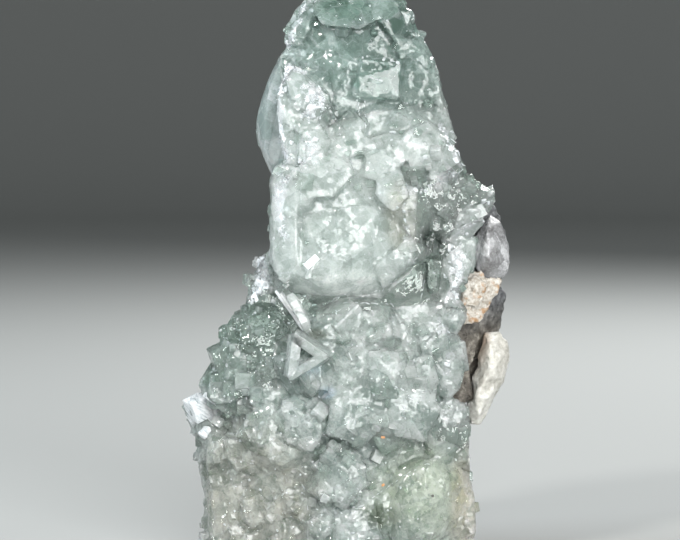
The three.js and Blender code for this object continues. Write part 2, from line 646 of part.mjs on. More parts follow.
// ---------------------------------------------- fluorite: small crystals of the front
function isInside(outline, x, z) {
  let inside = false;
  outline.forEach(([x1, z1], i) => {
    const [x2, z2] = outline[(i + 1) % outline.length];
    if (z1 > z !== z2 > z && x < x1 + ((z - z1) / (z2 - z1)) * (x2 - x1)) inside = !inside;
  });
  return inside;
}

// Y of the foremost crystal face at a place in the front view, if there is one.
function frontAt(crystals, x, z) {
  const depths = crystals
    .filter(({ outline }) => isInside(outline, x, z))
    .map((crystal) => faceAt(crystal, x, z));
  return depths.length ? Math.min(...depths) : null;
}

// Where the front is crusted with small cubes: a box in the front view, and the edges.
const CRUSTED = [
  { count: 26, x: [-21, -4], z: [1, 21], edge: [2.4, 4], seed: 5 },
  { count: 4, x: [-21, -9], z: [21, 38], edge: [2, 3.2], seed: 6 },
  { count: 5, x: [-4, 13], z: [19, 40], edge: [2, 3.2], seed: 7 },
  { count: 3, x: [-5, 6], z: [1, 18], edge: [2, 3.4], seed: 8 },
  { count: 4, x: [13, 22], z: [43, 61], edge: [1.8, 2.8], seed: 9 },
  { count: 3, x: [0, 16], z: [58, 72], edge: [1.8, 2.8], seed: 10 },
];

const SMALL_STRAY = 25; // degrees
const SMALL_SUNK = 0.22; // share of an edge by which a small cube's middle lies behind the face

function frontSmallCrystals(crystals) {
  return CRUSTED.flatMap(({ count, x, z, edge, seed }) => {
    const random = seeded(seed);
    const places = Array.from({ length: count }, () => ({
      x: between(random, ...x),
      z: between(random, ...z),
      edge: between(random, ...edge),
    }));
    return places
      .map((place) => ({ ...place, face: frontAt(crystals, place.x, place.z) }))
      .filter(({ face }) => face !== null)
      .map((small) =>
        cube({
          at: [small.x, small.face + small.edge * SMALL_SUNK, small.z],
          edges: [small.edge, small.edge, small.edge],
          turn: settingAt(small.z, random, SMALL_STRAY),
        }),
      );
  });
}

// ------------------------------------------------------------------ the pieces
const lumps = (list, grow) => join(list.map((crystal) => fromOutline(crystal, grow)));

function fluoriteSolid() {
  const front = [...UPPER, ...MIDDLE, ...SHOULDER, ...LOWER_LEFT, ...LOWER_RIGHT];
  return join([
    coreSolid(),
    ...front.map((crystal) => fromOutline(crystal)),
    ...FREE_CUBES.map(cube),
    ...frontSmallCrystals(front),
    ...coverCrystals(),
  ]);
}

function build() {
  const room = (list) => lumps(list, SEAM);
  const block = new THREE.BoxGeometry(FLOOR_BLOCK, FLOOR_BLOCK, FLOOR_BLOCK);
  const belowGround = solidOf(block.translate(0, 0, -FLOOR_BLOCK / 2));
  const matrix = lumps(MATRIX);
  const smoky = lumps(SMOKY_CALCITE).subtract(room(MATRIX));
  const cream = lumps(CREAM_CALCITE).subtract(room(MATRIX));
  const crust = lumps(TAN_CRUST)
    .subtract(room(MATRIX))
    .subtract(room(SMOKY_CALCITE))
    .subtract(room(CREAM_CALCITE));
  const fluorite = fluoriteSolid()
    .subtract(room([...MATRIX, ...SMOKY_CALCITE, ...TAN_CRUST, ...CREAM_CALCITE]))
    .subtract(belowGround);
  return { fluorite, matrix, smoky, crust, cream };
}

const FINISHES = {
  fluorite: { name: "fluorite_cluster", color: 0xc3d2c8, roughness: 0.12, metalness: 0 },
  matrix: { name: "sulphide_matrix", color: 0x55585a, roughness: 0.45, metalness: 0.5 },
  smoky: { name: "smoky_calcite", color: 0xa7a39c, roughness: 0.3, metalness: 0 },
  crust: { name: "tan_crust", color: 0xc9b79c, roughness: 0.9, metalness: 0 },
  cream: { name: "cream_calcite", color: 0xbfb9ae, roughness: 0.6, metalness: 0 },
};

const specimen = new THREE.Group();
for (const [piece, solid] of Object.entries(build())) {
  const { name, ...finish } = FINISHES[piece];
  const geometry = geometryOf(mainBody(solid));
  const mesh = new THREE.Mesh(geometry, new THREE.MeshStandardMaterial(finish));
  mesh.name = name;
  specimen.add(mesh);
}
const middle = new THREE.Box3().setFromObject(specimen).getCenter(new THREE.Vector3());
specimen.position.set(-middle.x, -middle.y, 0);

export default specimen;
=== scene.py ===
"""A standing fluorite specimen: intergrown cubes with calcite and a dark sulphide edge.

Metres, +X the specimen's right, +Y its back, +Z up. Sizes and places in the lists are in
millimetres; listed() says where a point of the frame lies in them.
"""
import contextlib
import itertools
import math
import random

import bpy
import bmesh
import numpy as np
from mathutils import Euler, Matrix, Vector, noise
from mathutils.bvhtree import BVHTree


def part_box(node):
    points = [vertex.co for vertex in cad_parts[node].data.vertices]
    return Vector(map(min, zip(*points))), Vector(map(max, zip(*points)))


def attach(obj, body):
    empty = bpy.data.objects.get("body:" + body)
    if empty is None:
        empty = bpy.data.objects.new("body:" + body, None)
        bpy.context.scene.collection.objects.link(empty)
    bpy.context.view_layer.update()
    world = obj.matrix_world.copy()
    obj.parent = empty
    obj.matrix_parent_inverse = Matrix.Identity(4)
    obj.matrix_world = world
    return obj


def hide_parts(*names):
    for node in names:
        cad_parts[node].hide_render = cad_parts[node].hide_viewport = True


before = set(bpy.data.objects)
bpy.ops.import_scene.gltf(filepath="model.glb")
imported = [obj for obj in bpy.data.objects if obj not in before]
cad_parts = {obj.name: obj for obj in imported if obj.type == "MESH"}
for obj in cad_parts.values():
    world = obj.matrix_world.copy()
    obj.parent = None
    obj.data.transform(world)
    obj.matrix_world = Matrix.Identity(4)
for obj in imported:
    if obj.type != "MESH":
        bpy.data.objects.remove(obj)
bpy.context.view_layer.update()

MM = 0.001

# The lists below are drawn about a line through the stem. In those lists the cream
# calcite's right edge is at X 26.4 and its front at Y -10.
CALCITE_RIGHT, CALCITE_FRONT = 26.4, -10.0
SHIFT_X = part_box("cream_calcite")[1][0] / MM - CALCITE_RIGHT
SHIFT_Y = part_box("cream_calcite")[0][1] / MM - CALCITE_FRONT


def listed(point):
    """A point of the frame in the lists' millimetres."""
    return point[0] / MM - SHIFT_X, point[1] / MM - SHIFT_Y, point[2] / MM


# ------------------------------------------------------------------ camera
DISTANCE = 0.42
ELEVATION = math.radians(4)
FIELD_WIDTH = 0.1105  # what the view takes in at the stem
SENSOR = 36
AIM = Vector((-0.0009, 0, 0.0463))
AHEAD = Vector((0, math.cos(ELEVATION), -math.sin(ELEVATION)))
UPWARD = Vector((0, math.sin(ELEVATION), math.cos(ELEVATION)))
EYE = AIM - AHEAD * DISTANCE


def add_object(name, data):
    obj = bpy.data.objects.new(name, data)
    bpy.context.scene.collection.objects.link(obj)
    return obj


def look_from(obj, place, aim):
    obj.location = place
    obj.rotation_euler = (Vector(aim) - Vector(place)).to_track_quat("-Z", "Y").to_euler()


def make_camera():
    data = bpy.data.cameras.new("view")
    data.sensor_width = SENSOR
    data.lens = SENSOR * DISTANCE / FIELD_WIDTH
    data.clip_start = 0.01
    camera = add_object("view", data)
    look_from(camera, EYE, AIM)
    bpy.context.scene.camera = camera


make_camera()


# ------------------------------------------------------------ modelling help
def as_seen(places):
    """The X and Z of the lists at which places appear from the front, as an array."""
    away = np.asarray(places) - np.array(EYE)
    scale = DISTANCE / (away @ np.array(AHEAD))
    across = away[:, 0] * scale + AIM.x
    up = away @ np.array(UPWARD) * scale + AIM.z
    return np.stack((across / MM - SHIFT_X, up / MM), axis=1)


def only(obj):
    """Selects one object and nothing else."""
    bpy.ops.object.select_all(action="DESELECT")
    obj.select_set(True)
    bpy.context.view_layer.objects.active = obj


@contextlib.contextmanager
def editing():
    """Edit mode, with the whole of the active mesh selected."""
    bpy.ops.object.mode_set(mode="EDIT")
    bpy.ops.mesh.select_all(action="SELECT")
    yield
    bpy.ops.object.mode_set(mode="OBJECT")


def finish_with(obj, kind, **values):
    """Adds a modifier, sets its values and applies it."""
    only(obj)
    modifier = obj.modifiers.new(kind.lower(), kind)
    for name, value in values.items():
        setattr(modifier, name, value)
    bpy.ops.object.modifier_apply(modifier=modifier.name)


def combine(obj, operation, tool):
    """Joins another solid to a solid or cuts with it; both stay closed."""
    finish_with(obj, "BOOLEAN", operation=operation, solver="MANIFOLD", object=tool)


def shade_smooth(obj, degrees):
    """Smooth shading, but sharp where faces meet at more than an angle."""
    only(obj)
    bpy.ops.object.shade_smooth_by_angle(angle=math.radians(degrees))


def merged_copy(node, name):
    """A copy of a CAD node's mesh, with its loose triangles merged."""
    obj = add_object(name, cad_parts[node].data.copy())
    only(obj)
    with editing():
        bpy.ops.mesh.remove_doubles(threshold=1e-6)
        bpy.ops.mesh.normals_make_consistent(inside=False)
    obj.data.materials.clear()
    return obj


def rows(items, field):
    """A vector field of many items, as an array with a row for each."""
    flat = np.zeros(len(items) * 3, np.float32)
    items.foreach_get(field, flat)
    return flat.reshape(-1, 3)


def surface_of(mesh):
    """A mesh's vertices and the normals there."""
    return rows(mesh.vertices, "co"), rows(mesh.vertex_normals, "vector")


def put_back(mesh, places):
    mesh.vertices.foreach_set("co", places.ravel())
    mesh.update()


def between(ends, share):
    return ends[0] + (ends[1] - ends[0]) * share


def turned(angles):
    """The turn for angles in degrees about X, Y and Z."""
    return Euler([math.radians(angle) for angle in angles]).to_matrix()


# ------------------------------------------------------------ crystal shapes
# A face with the second mark is finished white: frost, and on crystal bevels partly a painted edge
# highlight.
FACE, EDGE_FROST_AND_HIGHLIGHT = 0, 1  # marks kept as material numbers until the mass is joined
MARKS = [bpy.data.materials.new(name) for name in ("face", "edge")]
WORKED = ((0, 0, 1), (1, 0, 0), (0, -1, 0))  # the three faces that are not left plain

# Crystals of edge 1: the insets of the worked faces [how wide, how high], the width of the
# bevel and its mark.
CUBES = {
    "plain": ((), 0.05, FACE),
    "edged": ((), 0.04, EDGE_FROST_AND_HIGHLIGHT),  # narrow white edges, partly wear and partly a painted edge highlight
    "stepped": (((0.14, 0.05),), 0.03, EDGE_FROST_AND_HIGHLIGHT),  # low growth steps
    "worn": ((), 0.2, FACE),  # partly dissolved: broad, blunt edges
    "hopper": (((0.13, 0), (0.12, -0.16)), 0.02, EDGE_FROST_AND_HIGHLIGHT),  # faces sunk inside their rims
}
SHARD = ((1, 1, 1), (-1, 0.4, 1), (0.3, -1, 0.8))  # a grain's cuts: where they face
SHARD_CUT = 0.3  # how far from the middle, as a share of those
FACING = 0.9  # how nearly a face has to face a direction, as a cosine


def add_marks(mesh):
    for mark in MARKS:
        mesh.materials.append(mark)


def start_cube():
    bpy.ops.object.select_all(action="DESELECT")
    bpy.ops.mesh.primitive_cube_add(size=1)
    obj = bpy.context.active_object
    add_marks(obj.data)
    return obj


def select_facing(obj, direction):
    """In edit mode, selects the faces that face a direction."""
    bm = bmesh.from_edit_mesh(obj.data)
    for face in bm.faces:
        face.select = face.normal.dot(Vector(direction)) > FACING
    bm.select_flush_mode()
    bmesh.update_edit_mesh(obj.data)


def template(obj):
    """Vertices, faces and marks of a crystal shape, whose object is then removed."""
    mesh = obj.data
    shape = (
        rows(mesh.vertices, "co"),
        [tuple(p.vertices) for p in mesh.polygons],
        [p.material_index for p in mesh.polygons],
    )
    bpy.data.objects.remove(obj)
    return shape


def cube_shape(insets, width, mark):
    """A cube, worked as CUBES says."""
    obj = start_cube()
    with editing():
        for direction in WORKED if insets else ():
            select_facing(obj, direction)
            for thickness, depth in insets:
                bpy.ops.mesh.inset(thickness=thickness, depth=depth)
    with editing():
        bpy.ops.mesh.bevel(offset=width, segments=1, affect="EDGES", material=mark)
    return template(obj)


def grain_shape():
    """A sharp shard: a cube cut across three of its corners."""
    obj = start_cube()
    with editing():
        for corner in SHARD:
            bpy.ops.mesh.select_all(action="SELECT")
            bpy.ops.mesh.bisect(plane_co=Vector(corner) * SHARD_CUT, plane_no=corner,
                                use_fill=True, clear_outer=True)
    return template(obj)


def random_axis(rng):
    return Vector([rng.gauss(0, 1) for _ in range(3)]).normalized()


def random_turn(rng):
    axis = random_axis(rng)
    return Matrix.Rotation(rng.uniform(0, math.tau), 3, axis)


# ------------------------------------------------------------ fluorite mass
BODY_VOXEL = 0.37 * MM
BODY_SHARE = 0.38  # of the faces kept after the wear is in

# How lively the surface is: [middle x, z], [half width, half height], liveliness.
# The first that fits counts, on the front; elsewhere it is ELSEWHERE.
CALM = [
    ((-12, 71), (3.2, 11), 0.12),  # clear rim
    ((-8, 76), (3.5, 3), 0.15),  # flat facet
    ((-3, 43.5), (7, 3.2), 0.15),  # smooth lip of the lobe
    ((2, 86), (10, 8), 0.22),
    ((5, 77), (10, 6), 0.25),
    ((-1, 54), (12, 11), 0.3),
    ((7, 65), (12, 6), 0.4),
    ((11, 45), (6, 5), 0.2),  # clear facet under the lobe
    ((19, 57), (6, 6), 0.5),
    ((13, 10), (9, 10), 0.85),
    ((5, 29), (13, 10), 0.6),
    ((-7, 71), (5, 8), 0.8),  # frosted mass
]
ELSEWHERE = 1.0
CORE = 0.6  # up to this measure from its middle, a place is wholly as calm as said
CALMING = 6  # rounds of smoothing where it is calmest
CALM_FRONT = 0.4, -2  # the front: the normal's Y is under the first, or Y under the second

# The surface is smoothed by STIRRED less its liveliness, where that is over LEAST_CALM.
STIRRED, LEAST_CALM = 1.1, 0.15

# The worn surface, in millimetres: broad swells [how close together, how high], facets of two
# sizes [how wide, how steep, offset], how much of both is kept, and how far it is worn back.
SWELLS = 0.16, 0.35
CHIPS = [(5.2, 1.1, Vector((0, 0, 0))), (2.4, 0.55, Vector((9, 3, 5)))]
RELIEF, WORN_BACK = 0.8, 0.1
FOOT_FLAT = 0.0004  # what is lower than this is laid on the floor

SOFT_TRIES, SOFT_SEED = 3200, 23  # for the worn crystals that are blended into the mass
CRISP_TRIES, CRISP_SEED = 12000, 41  # for those that stand on it


def fluorite_body(shapes):
    """The mass of the fluorite: its worn, partly dissolved main forms."""
    obj = merged_copy("fluorite_cluster", "fluorite")
    ground = obj.data.copy()  # where the small crystals are seated
    bulk = add_object("bulk", crystal_mesh(
        seat_crystals(ground, soft_patch, SOFT_TRIES, SOFT_SEED), shapes))
    only(obj)
    bulk.select_set(True)
    bpy.ops.object.join()
    finish_with(obj, "REMESH", mode="VOXEL", voxel_size=BODY_VOXEL, adaptivity=0.0)
    finish_with(obj, "SMOOTH", factor=0.5, iterations=1)
    calm_down(obj)
    wear(obj)
    finish_with(obj, "DECIMATE", ratio=BODY_SHARE)
    add_marks(obj.data)
    return obj, ground


def calm_down(obj):
    """Smooths the mass where its surface is calm."""
    group = obj.vertex_groups.new(name="calm")
    for i, (place, normal) in enumerate(zip(*surface_of(obj.data))):
        calm = STIRRED - liveliness(*listed(place), normal[1])
        if calm > LEAST_CALM:
            group.add([i], min(1.0, calm), "REPLACE")
    finish_with(obj, "SMOOTH", factor=0.5, iterations=CALMING, vertex_group="calm")


def oval(middle, half, x, z):
    """The measure of a place from the middle of an oval, which is less than 1 inside it."""
    return ((x - middle[0]) / half[0]) ** 2 + ((z - middle[1]) / half[1]) ** 2


def in_front(limits, facing, y):
    return facing < limits[0] or y < limits[1]


def liveliness(x, y, z, facing):
    if in_front(CALM_FRONT, facing, y):
        for middle, half, amount in CALM:
            away = oval(middle, half, x, z)
            if away < 1:
                return amount + (ELSEWHERE - amount) * max(0.0, (away - CORE) / (1 - CORE))
    return ELSEWHERE


HALF = Vector((0.5, 0.5, 0.5))
UNLIKE = 97  # makes the tilts of neighbouring facets unlike each other


def chip(p, size, strength):
    """Height of a surface broken into flat facets of about that size, each tilted its own way."""
    near = noise.voronoi(p / size)[1][0]
    tilt = noise.cell_vector(near * UNLIKE) - HALF
    return (p / size - near).dot(tilt) * strength


def wear_at(place, normal):
    """How far the worn surface stands out at a place, in metres."""
    x, y, z = listed(place)
    p = Vector((x, y, z))
    swell = noise.noise(p * SWELLS[0]) * SWELLS[1]
    facets = sum(chip(p + offset, size, strength) for size, strength, offset in CHIPS)
    height = (swell + facets) * liveliness(x, y, z, normal[1]) * RELIEF - WORN_BACK
    return float(height) * MM


def wear(obj):
    """Breaks the worn surface into facets and low steps of a few sizes."""
    places, normals = surface_of(obj.data)
    for i, (place, normal) in enumerate(zip(places, normals)):
        places[i] = place + normal * wear_at(place, normal)
    places[places[:, 2] < FOOT_FLAT, 2] = 0
    put_back(obj.data, places)


# Where small crisp crystals cover the mass, as seen from the front: the middle of the
# patch, its half width and half height, edge lengths, how far apart they are and how
# far they stand out as shares of the edge, which shapes they take, and how milky they are.
BLUNT, SHARP = ("worn", "plain"), ("plain", "worn", "edged", "edged", "stepped")
MIXED = ("worn", "worn", "plain", "edged", "edged", "stepped")
BARE = (None, 0, 0, (), 0)
PATCHES = [
    ((-11.6, 71), (2.6, 10), *BARE),
    ((-8, 76.4), (3, 2.6), *BARE),
    ((-7.5, 70), (5, 9), (0.8, 3.0), 0.8, 0.3, MIXED, 0.4),
    ((17, 63), (4, 7), (0.8, 3.0), 0.8, 0.3, SHARP, 0.4),
    ((8, 64), (8, 7), (1.2, 4.2), 1.0, 0.22, MIXED, 0.5),
    ((1, 82), (17, 13), (1.4, 4.0), 1.9, 0.1, MIXED, 0.2),
    ((-1, 45), (9, 4), *BARE),
    ((-8.2, 38.4), (5.6, 5.4), *BARE),
    ((-1, 55), (12, 10), (1.6, 5.0), 1.3, 0.09, MIXED, 0.5),
    ((11, 45), (6, 5), *BARE),
    ((18, 56), (8, 7), (1.4, 4.0), 1.3, 0.2, SHARP, 0.2),
    ((17.5, 46), (4, 6), (0.8, 2.6), 0.75, 0.3, SHARP, 0.4),
    ((4, 37), (14, 6.5), (1.8, 5.0), 0.9, 0.3, (*SHARP, "hopper"), 0.5),
    ((-14, 44), (4, 7), (0.8, 2.4), 0.75, 0.3, SHARP, 0.4),
    ((-16, 34), (11, 9), (1.5, 5.0), 0.95, 0.26, SHARP, 0.3),
    ((-24, 23), (3.4, 4.4), *BARE),
    ((13, 11), (8, 9), (1.6, 5.2), 1.0, 0.2, MIXED, 0.3),
    ((-13, 10), (12, 12), (0.8, 3.0), 0.75, 0.36, MIXED, 0.5),
    ((-2, 20), (24, 22), (1.5, 5.4), 0.85, 0.28, (*MIXED, "hopper"), 0.5),
]
ROUND = ((1.4, 4.6), 1.0, 0.26, MIXED, 0.45)  # sides and back
HIGH_ROUND = ((1.6, 4.4), 1.8, 0.16, MIXED, 0.35)  # the same, near the top
HIGH = 72
PATCH_FRONT = -0.15, -4  # the front, for the patches, in the same way
RIM = (-9.3, 60, 81)  # the smooth rim is left of that X, between those heights
SOFT, HIGH_SOFT = ((2.4, 6.5), 0.7, 0.2, (*BLUNT, "stepped")), ((2.6, 6.0), 1.1, 0.1, BLUNT)
HIGH_SOFT_FROM = 64
TOO_CALM = 0.3  # less lively places have none of them
DOMAIN = 11.0  # within this distance crystals grow in parallel, or nearly
STRAY = 0.16  # how far from parallel, in radians


def soft_patch(x, y, z, facing):
    """The larger, worn crystals that are blended into the mass."""
    live = liveliness(x, y, z, facing)
    if live < TOO_CALM:
        return BARE
    sizes, apart, out, shapes = HIGH_SOFT if z > HIGH_SOFT_FROM else SOFT
    return sizes, apart, out * live, shapes, 0


def patch_at(x, y, z, facing):
    """The patch of small crystals that a place belongs to."""
    if x < RIM[0] and RIM[1] < z < RIM[2] and y < 0:
        return BARE
    if in_front(PATCH_FRONT, facing, y):
        for middle, half, *rest in PATCHES:
            if oval(middle, half, x, z) < 1:
                return rest
    return HIGH_ROUND if z > HIGH else ROUND


def triangles(mesh):
    mesh.calc_loop_triangles()
    index = np.zeros(len(mesh.loop_triangles) * 3, np.int32)
    mesh.loop_triangles.foreach_get("vertices", index)
    return index.reshape(-1, 3)


def tree_of(mesh, unit=1):
    """What is needed to find places on a mesh."""
    return BVHTree.FromPolygons((rows(mesh.vertices, "co") / unit).tolist(), triangles(mesh).tolist())


def surface_places(mesh, count, rng):
    """Random places on a mesh, evenly by area, each with its normal."""
    corners = rows(mesh.vertices, "co")[triangles(mesh)]
    across = np.cross(corners[:, 1] - corners[:, 0], corners[:, 2] - corners[:, 0])
    area = np.linalg.norm(across, axis=1)
    chosen = rng.choice(len(area), count, p=area / area.sum())
    u, v = rng.random(count), rng.random(count)
    fold = u + v > 1
    u[fold], v[fold] = 1 - u[fold], 1 - v[fold]
    a, b, c = corners[chosen, 0], corners[chosen, 1], corners[chosen, 2]
    places = a + (b - a) * u[:, None] + (c - a) * v[:, None]
    return places, across[chosen] / area[chosen, None]


def domain_turn(p, turns, rng):
    """Crystals near each other share a turn, give or take a little."""
    cell = noise.voronoi(Vector(p) / DOMAIN)[1][0]
    key = (round(cell.x, 3), round(cell.y, 3), round(cell.z, 3))
    if key not in turns:
        turns[key] = random_turn(random.Random(hash(key) % 100003))
    axis = random_axis(rng)
    return Matrix.Rotation(rng.gauss(0, STRAY), 3, axis) @ turns[key]


PROUD = 0.3, 0.11  # a corner stands out this much at most: millimetres, and a share of the edge
SHRINK, TRIES = 0.8, 5  # a crystal that stands out more is made smaller, a few times
SMALLEST = 0.7  # one that ends up smaller than this share of its patch's least is left out
LOWEST = 0.9  # so is one whose middle is less than this share of its edge above the floor
UNDERSIDE, FOOT = -0.6, 4  # nothing grows under the foot: how it faces, and how high it is
MOSTLY_SMALL = 2.2  # the power that makes small crystals the commoner ones
SQUARE = 0.8, 1.15  # how much a crystal's sides differ
UNEVEN = 0.6, 1.2  # how much crystals differ in standing out
SUNK = 0.7  # how far out the crisp crystals stand, as a share of what their patch says
RISE = 4.0  # the worn surface is never further than this from the CAD's, in millimetres
MILKY_SHARE, CLOUDY_SHARE = 0.5, 0.14  # of what a patch says, and of all


def sticks_out(skin, centre, turn, half):
    """How far the furthest corner of a crystal is outside the mass."""
    furthest = -1e9
    for signs in itertools.product((-1, 1), repeat=3):
        corner = centre + turn @ Vector([s * h for s, h in zip(signs, half)])
        near, normal, _, away = skin.find_nearest(corner)
        outside = (corner - near).dot(normal) > 0
        furthest = max(furthest, away if outside else -away)
    return furthest


def rise_at(skin, place, normal):
    """How far the finished surface stands out of the CAD's at a place, in millimetres."""
    hit, _, _, away = skin.ray_cast(place + normal * RISE * MM, -normal, 2 * RISE * MM)
    return RISE - away / MM if hit else 0.0


def seat_crystals(ground, patch, tries, seed, finished=None):
    """Chooses where crystals go: place, size, turn, proportions, shape and look of each."""
    rng, draw = random.Random(seed), np.random.default_rng(seed)
    places, normals = surface_places(ground, tries, draw)
    skin = tree_of(ground, MM)
    seats, cells, turns = [], {}, {}
    for place, normal in zip(places, normals):
        x, y, z = listed(place)
        sizes, apart, out, shapes, milky = patch(x, y, z, normal[1])
        if sizes is None or (normal[2] < UNDERSIDE and z < FOOT):
            continue
        edge = between(sizes, rng.random() ** MOSTLY_SMALL)
        turn = domain_turn((x, y, z), turns, rng)
        proportions = Vector([rng.uniform(*SQUARE) for _ in range(3)])
        share = out * rng.uniform(*UNEVEN)
        where, outward = Vector(place), Vector(normal)
        for _ in range(TRIES):
            reach = sum(abs(c) * h for c, h in zip(outward @ turn, proportions * edge / 2))
            stand = wear_at(place, normal) / MM + edge * share
            centre = where / MM + outward * (stand - reach)
            if sticks_out(skin, centre, turn, proportions * edge / 2) < PROUD[0] + PROUD[1] * edge:
                break
            edge *= SHRINK
        if edge < sizes[0] * SMALLEST or centre.z < edge * LOWEST:
            continue
        if crowded(where / MM, edge * apart, cells):
            continue
        if finished:
            rise = rise_at(finished, where, outward) + edge * share * SUNK
            centre = where / MM + outward * (rise - reach)
        pick, milky = rng.random(), milky * MILKY_SHARE
        look = "milky" if pick < milky else "cloudy" if pick < milky + CLOUDY_SHARE else "clear"
        seats.append((centre, edge, turn, proportions, rng.choice(shapes), look))
    return seats


CELL = 3.0  # crystals are looked up by cubes of this edge


def crowded(centre, room, cells):
    """True if another crystal is nearer than that; otherwise takes the place."""
    key = tuple(int(math.floor(c / CELL)) for c in centre)
    for cell in itertools.product(*(range(k - 2, k + 3) for k in key)):
        for other, other_room in cells.get(cell, ()):
            if (other - centre).length < (room + other_room) / 2:
                return True
    cells.setdefault(key, []).append((centre.copy(), room))
    return False


def batches(seats):
    """Groups crystals so that none in a group touches another."""
    groups = []
    for seat in sorted(seats, key=lambda s: -s[1]):
        for group in groups:
            if all((o[0] - seat[0]).length > seat[1] + o[1] for o in group):
                group.append(seat)
                break
        else:
            groups.append([seat])
    return groups


def crystal_mesh(group, shapes):
    """One mesh of all the crystals of a group."""
    vertices, faces, marks, start = [], [], [], 0
    for centre, edge, turn, proportions, shape, *_ in group:
        corner, sides, mark = shapes[shape]
        matrix = np.array(turn @ Matrix.Diagonal(Vector(proportions) * edge))
        vertices.append((corner @ matrix.T + np.array(centre)) * MM)
        faces += [tuple(start + i for i in side) for side in sides]
        marks += mark
        start += len(corner)
    mesh = bpy.data.meshes.new("crystals")
    mesh.from_pydata(np.concatenate(vertices).tolist(), [], faces)
    add_marks(mesh)
    mesh.polygons.foreach_set("material_index", marks)
    mesh.update()
    return mesh


def join_crystals(body, seats, shapes):
    """Joins every crystal to the mass, so that it stays one closed solid."""
    for group in batches(seats):
        tool = add_object("crystals", crystal_mesh(group, shapes))
        combine(body, "UNION", tool)
        bpy.data.objects.remove(tool)
    places = rows(body.data.vertices, "co")
    places[places[:, 2] < 0, 2] = 0  # the foot stays flat
    put_back(body.data, places)


TINTS_AND_PAINTED_LIGHT = [  # middle x, y, z, half sizes, and what the fluorite's colour is multiplied by there: mostly its own colour, in places painted light and shade
    # lighter and bluish along the clear rim: a painted sky highlight
    ((-12.5, -4, 71), (3, 8, 12), (1.16, 1.18, 1.22)),
    # darker over the clear top: painted shade in place of dark surroundings seen through the glass
    ((3, -4, 83), (15, 14, 14), (0.52, 0.61, 0.585)),
    ((-0.5, -7, 89), (4.6, 5, 2.6), (0.55, 0.66, 0.6)),
    ((8.4, -6, 87.6), (2.6, 5, 3), (0.75, 0.8, 0.77)),
    ((5.4, -9, 77.6), (3.6, 4, 3.4), (0.82, 0.9, 0.86)),
    ((9, -13, 55), (3, 5, 6), (1.0, 0.95, 0.9)),
    ((1, -14, 52), (7, 6, 7), (0.84, 0.86, 0.85)),
    # much lighter along the lobe's lower lip: a painted highlight that lifts the shade on its underside
    ((-1, -12, 44.4), (9, 6, 3), (1.42, 1.38, 1.38)),
    ((13.2, -8, 50.8), (2.8, 6, 2.8), (0.14, 0.16, 0.15)),
    ((11, -9, 45), (6, 5, 5), (0.74, 0.8, 0.76)),
    # a dark pit: painted shade in the hollow
    ((-9, -14, 38.4), (2.2, 4, 2.4), (0.35, 0.4, 0.37)),
    ((-5, -14, 35.8), (2.4, 4, 1.0), (0.7, 0.66, 0.62)),
    ((-6.4, -14, 30), (3.4, 5, 1.4), (0.82, 0.93, 1.0)),
    ((-7.2, -14, 33), (0.8, 6, 1.8), (0.35, 0.4, 0.38)),
    ((-3.1, -15, 26.3), (1.4, 6, 1.0), (1.0, 1.1, 1.3)),
    # darker on the left slope: painted shade, as over the clear top
    ((-16, -8, 33), (9, 10, 10), (0.68, 0.74, 0.71)),
    ((-15, -10, 9), (12, 12, 14), (0.9, 0.84, 0.79)),
    ((12, -12, 10), (9, 8, 9), (0.97, 0.98, 0.88)),
    ((19.4, -8, 8), (3, 9, 10), (1.35, 1.18, 1.12)),
    ((5, -14, 6.4), (3, 4, 2.2), (0.45, 0.48, 0.42)),
    ((18, -8, 56), (6, 6, 6), (0.88, 0.87, 0.88)),
]
TINT_REACH = 1.35  # how far each goes beyond its size, squared

# How a frost stroke whitens the surface: how far out of its width, how it fades, how white
# it is at least and for each thickness; and which faces turn wholly white.
STROKE_REACH, STROKE_FADE, STROKE_LEAST, STROKE_MORE = 0.8, 0.6, 0.35, 0.3
FROST_FRONT = 0.3  # only on what faces back less than that
WHITE_LEAST, WHITE_GRAIN, WHITE_PATCHY = 0.4, 1.3, 0.8


def paint_tint_and_light(mesh):
    """A colour attribute that changes the fluorite's colour from place to place: its own colour, and in
    places painted light and shade.
    """
    places = rows(mesh.vertices, "co")
    seen = as_seen(places)
    places = np.stack((seen[:, 0], places[:, 1] / MM - SHIFT_Y, seen[:, 1]), axis=1)
    tint_and_light = np.ones((len(places), 4), np.float32)
    for middle, half, colour in TINTS_AND_PAINTED_LIGHT:
        away = (((places - np.array(middle)) / np.array(half)) ** 2).sum(axis=1)
        share = np.clip(TINT_REACH - away, 0, 1)[:, None]
        tint_and_light[:, :3] *= 1 + (np.array(colour) - 1) * share
    layer = mesh.attributes.new("tint_and_light", "FLOAT_COLOR", "POINT")
    layer.data.foreach_set("color", tint_and_light.ravel())


def stroke_share(x, z):
    """How thickly the frost strokes cover a place on the front, 0 to 1."""
    best = 0.0
    for line, width, thickness in FROST:
        away = min(away_from(x, z, a, b) for a, b in zip(line, line[1:])) / (width * STROKE_REACH)
        if away < 1:
            amount = min(1.0, STROKE_LEAST + thickness * STROKE_MORE)
            best = max(best, (1 - away) ** STROKE_FADE * amount)
    return best


def away_from(x, z, start, end):
    """The distance of a point from a straight line between two points."""
    along_x, along_z = end[0] - start[0], end[1] - start[1]
    share = ((x - start[0]) * along_x + (z - start[1]) * along_z) / (along_x ** 2 + along_z ** 2)
    share = min(1.0, max(0.0, share))
    return math.hypot(x - start[0] - share * along_x, z - start[1] - share * along_z)


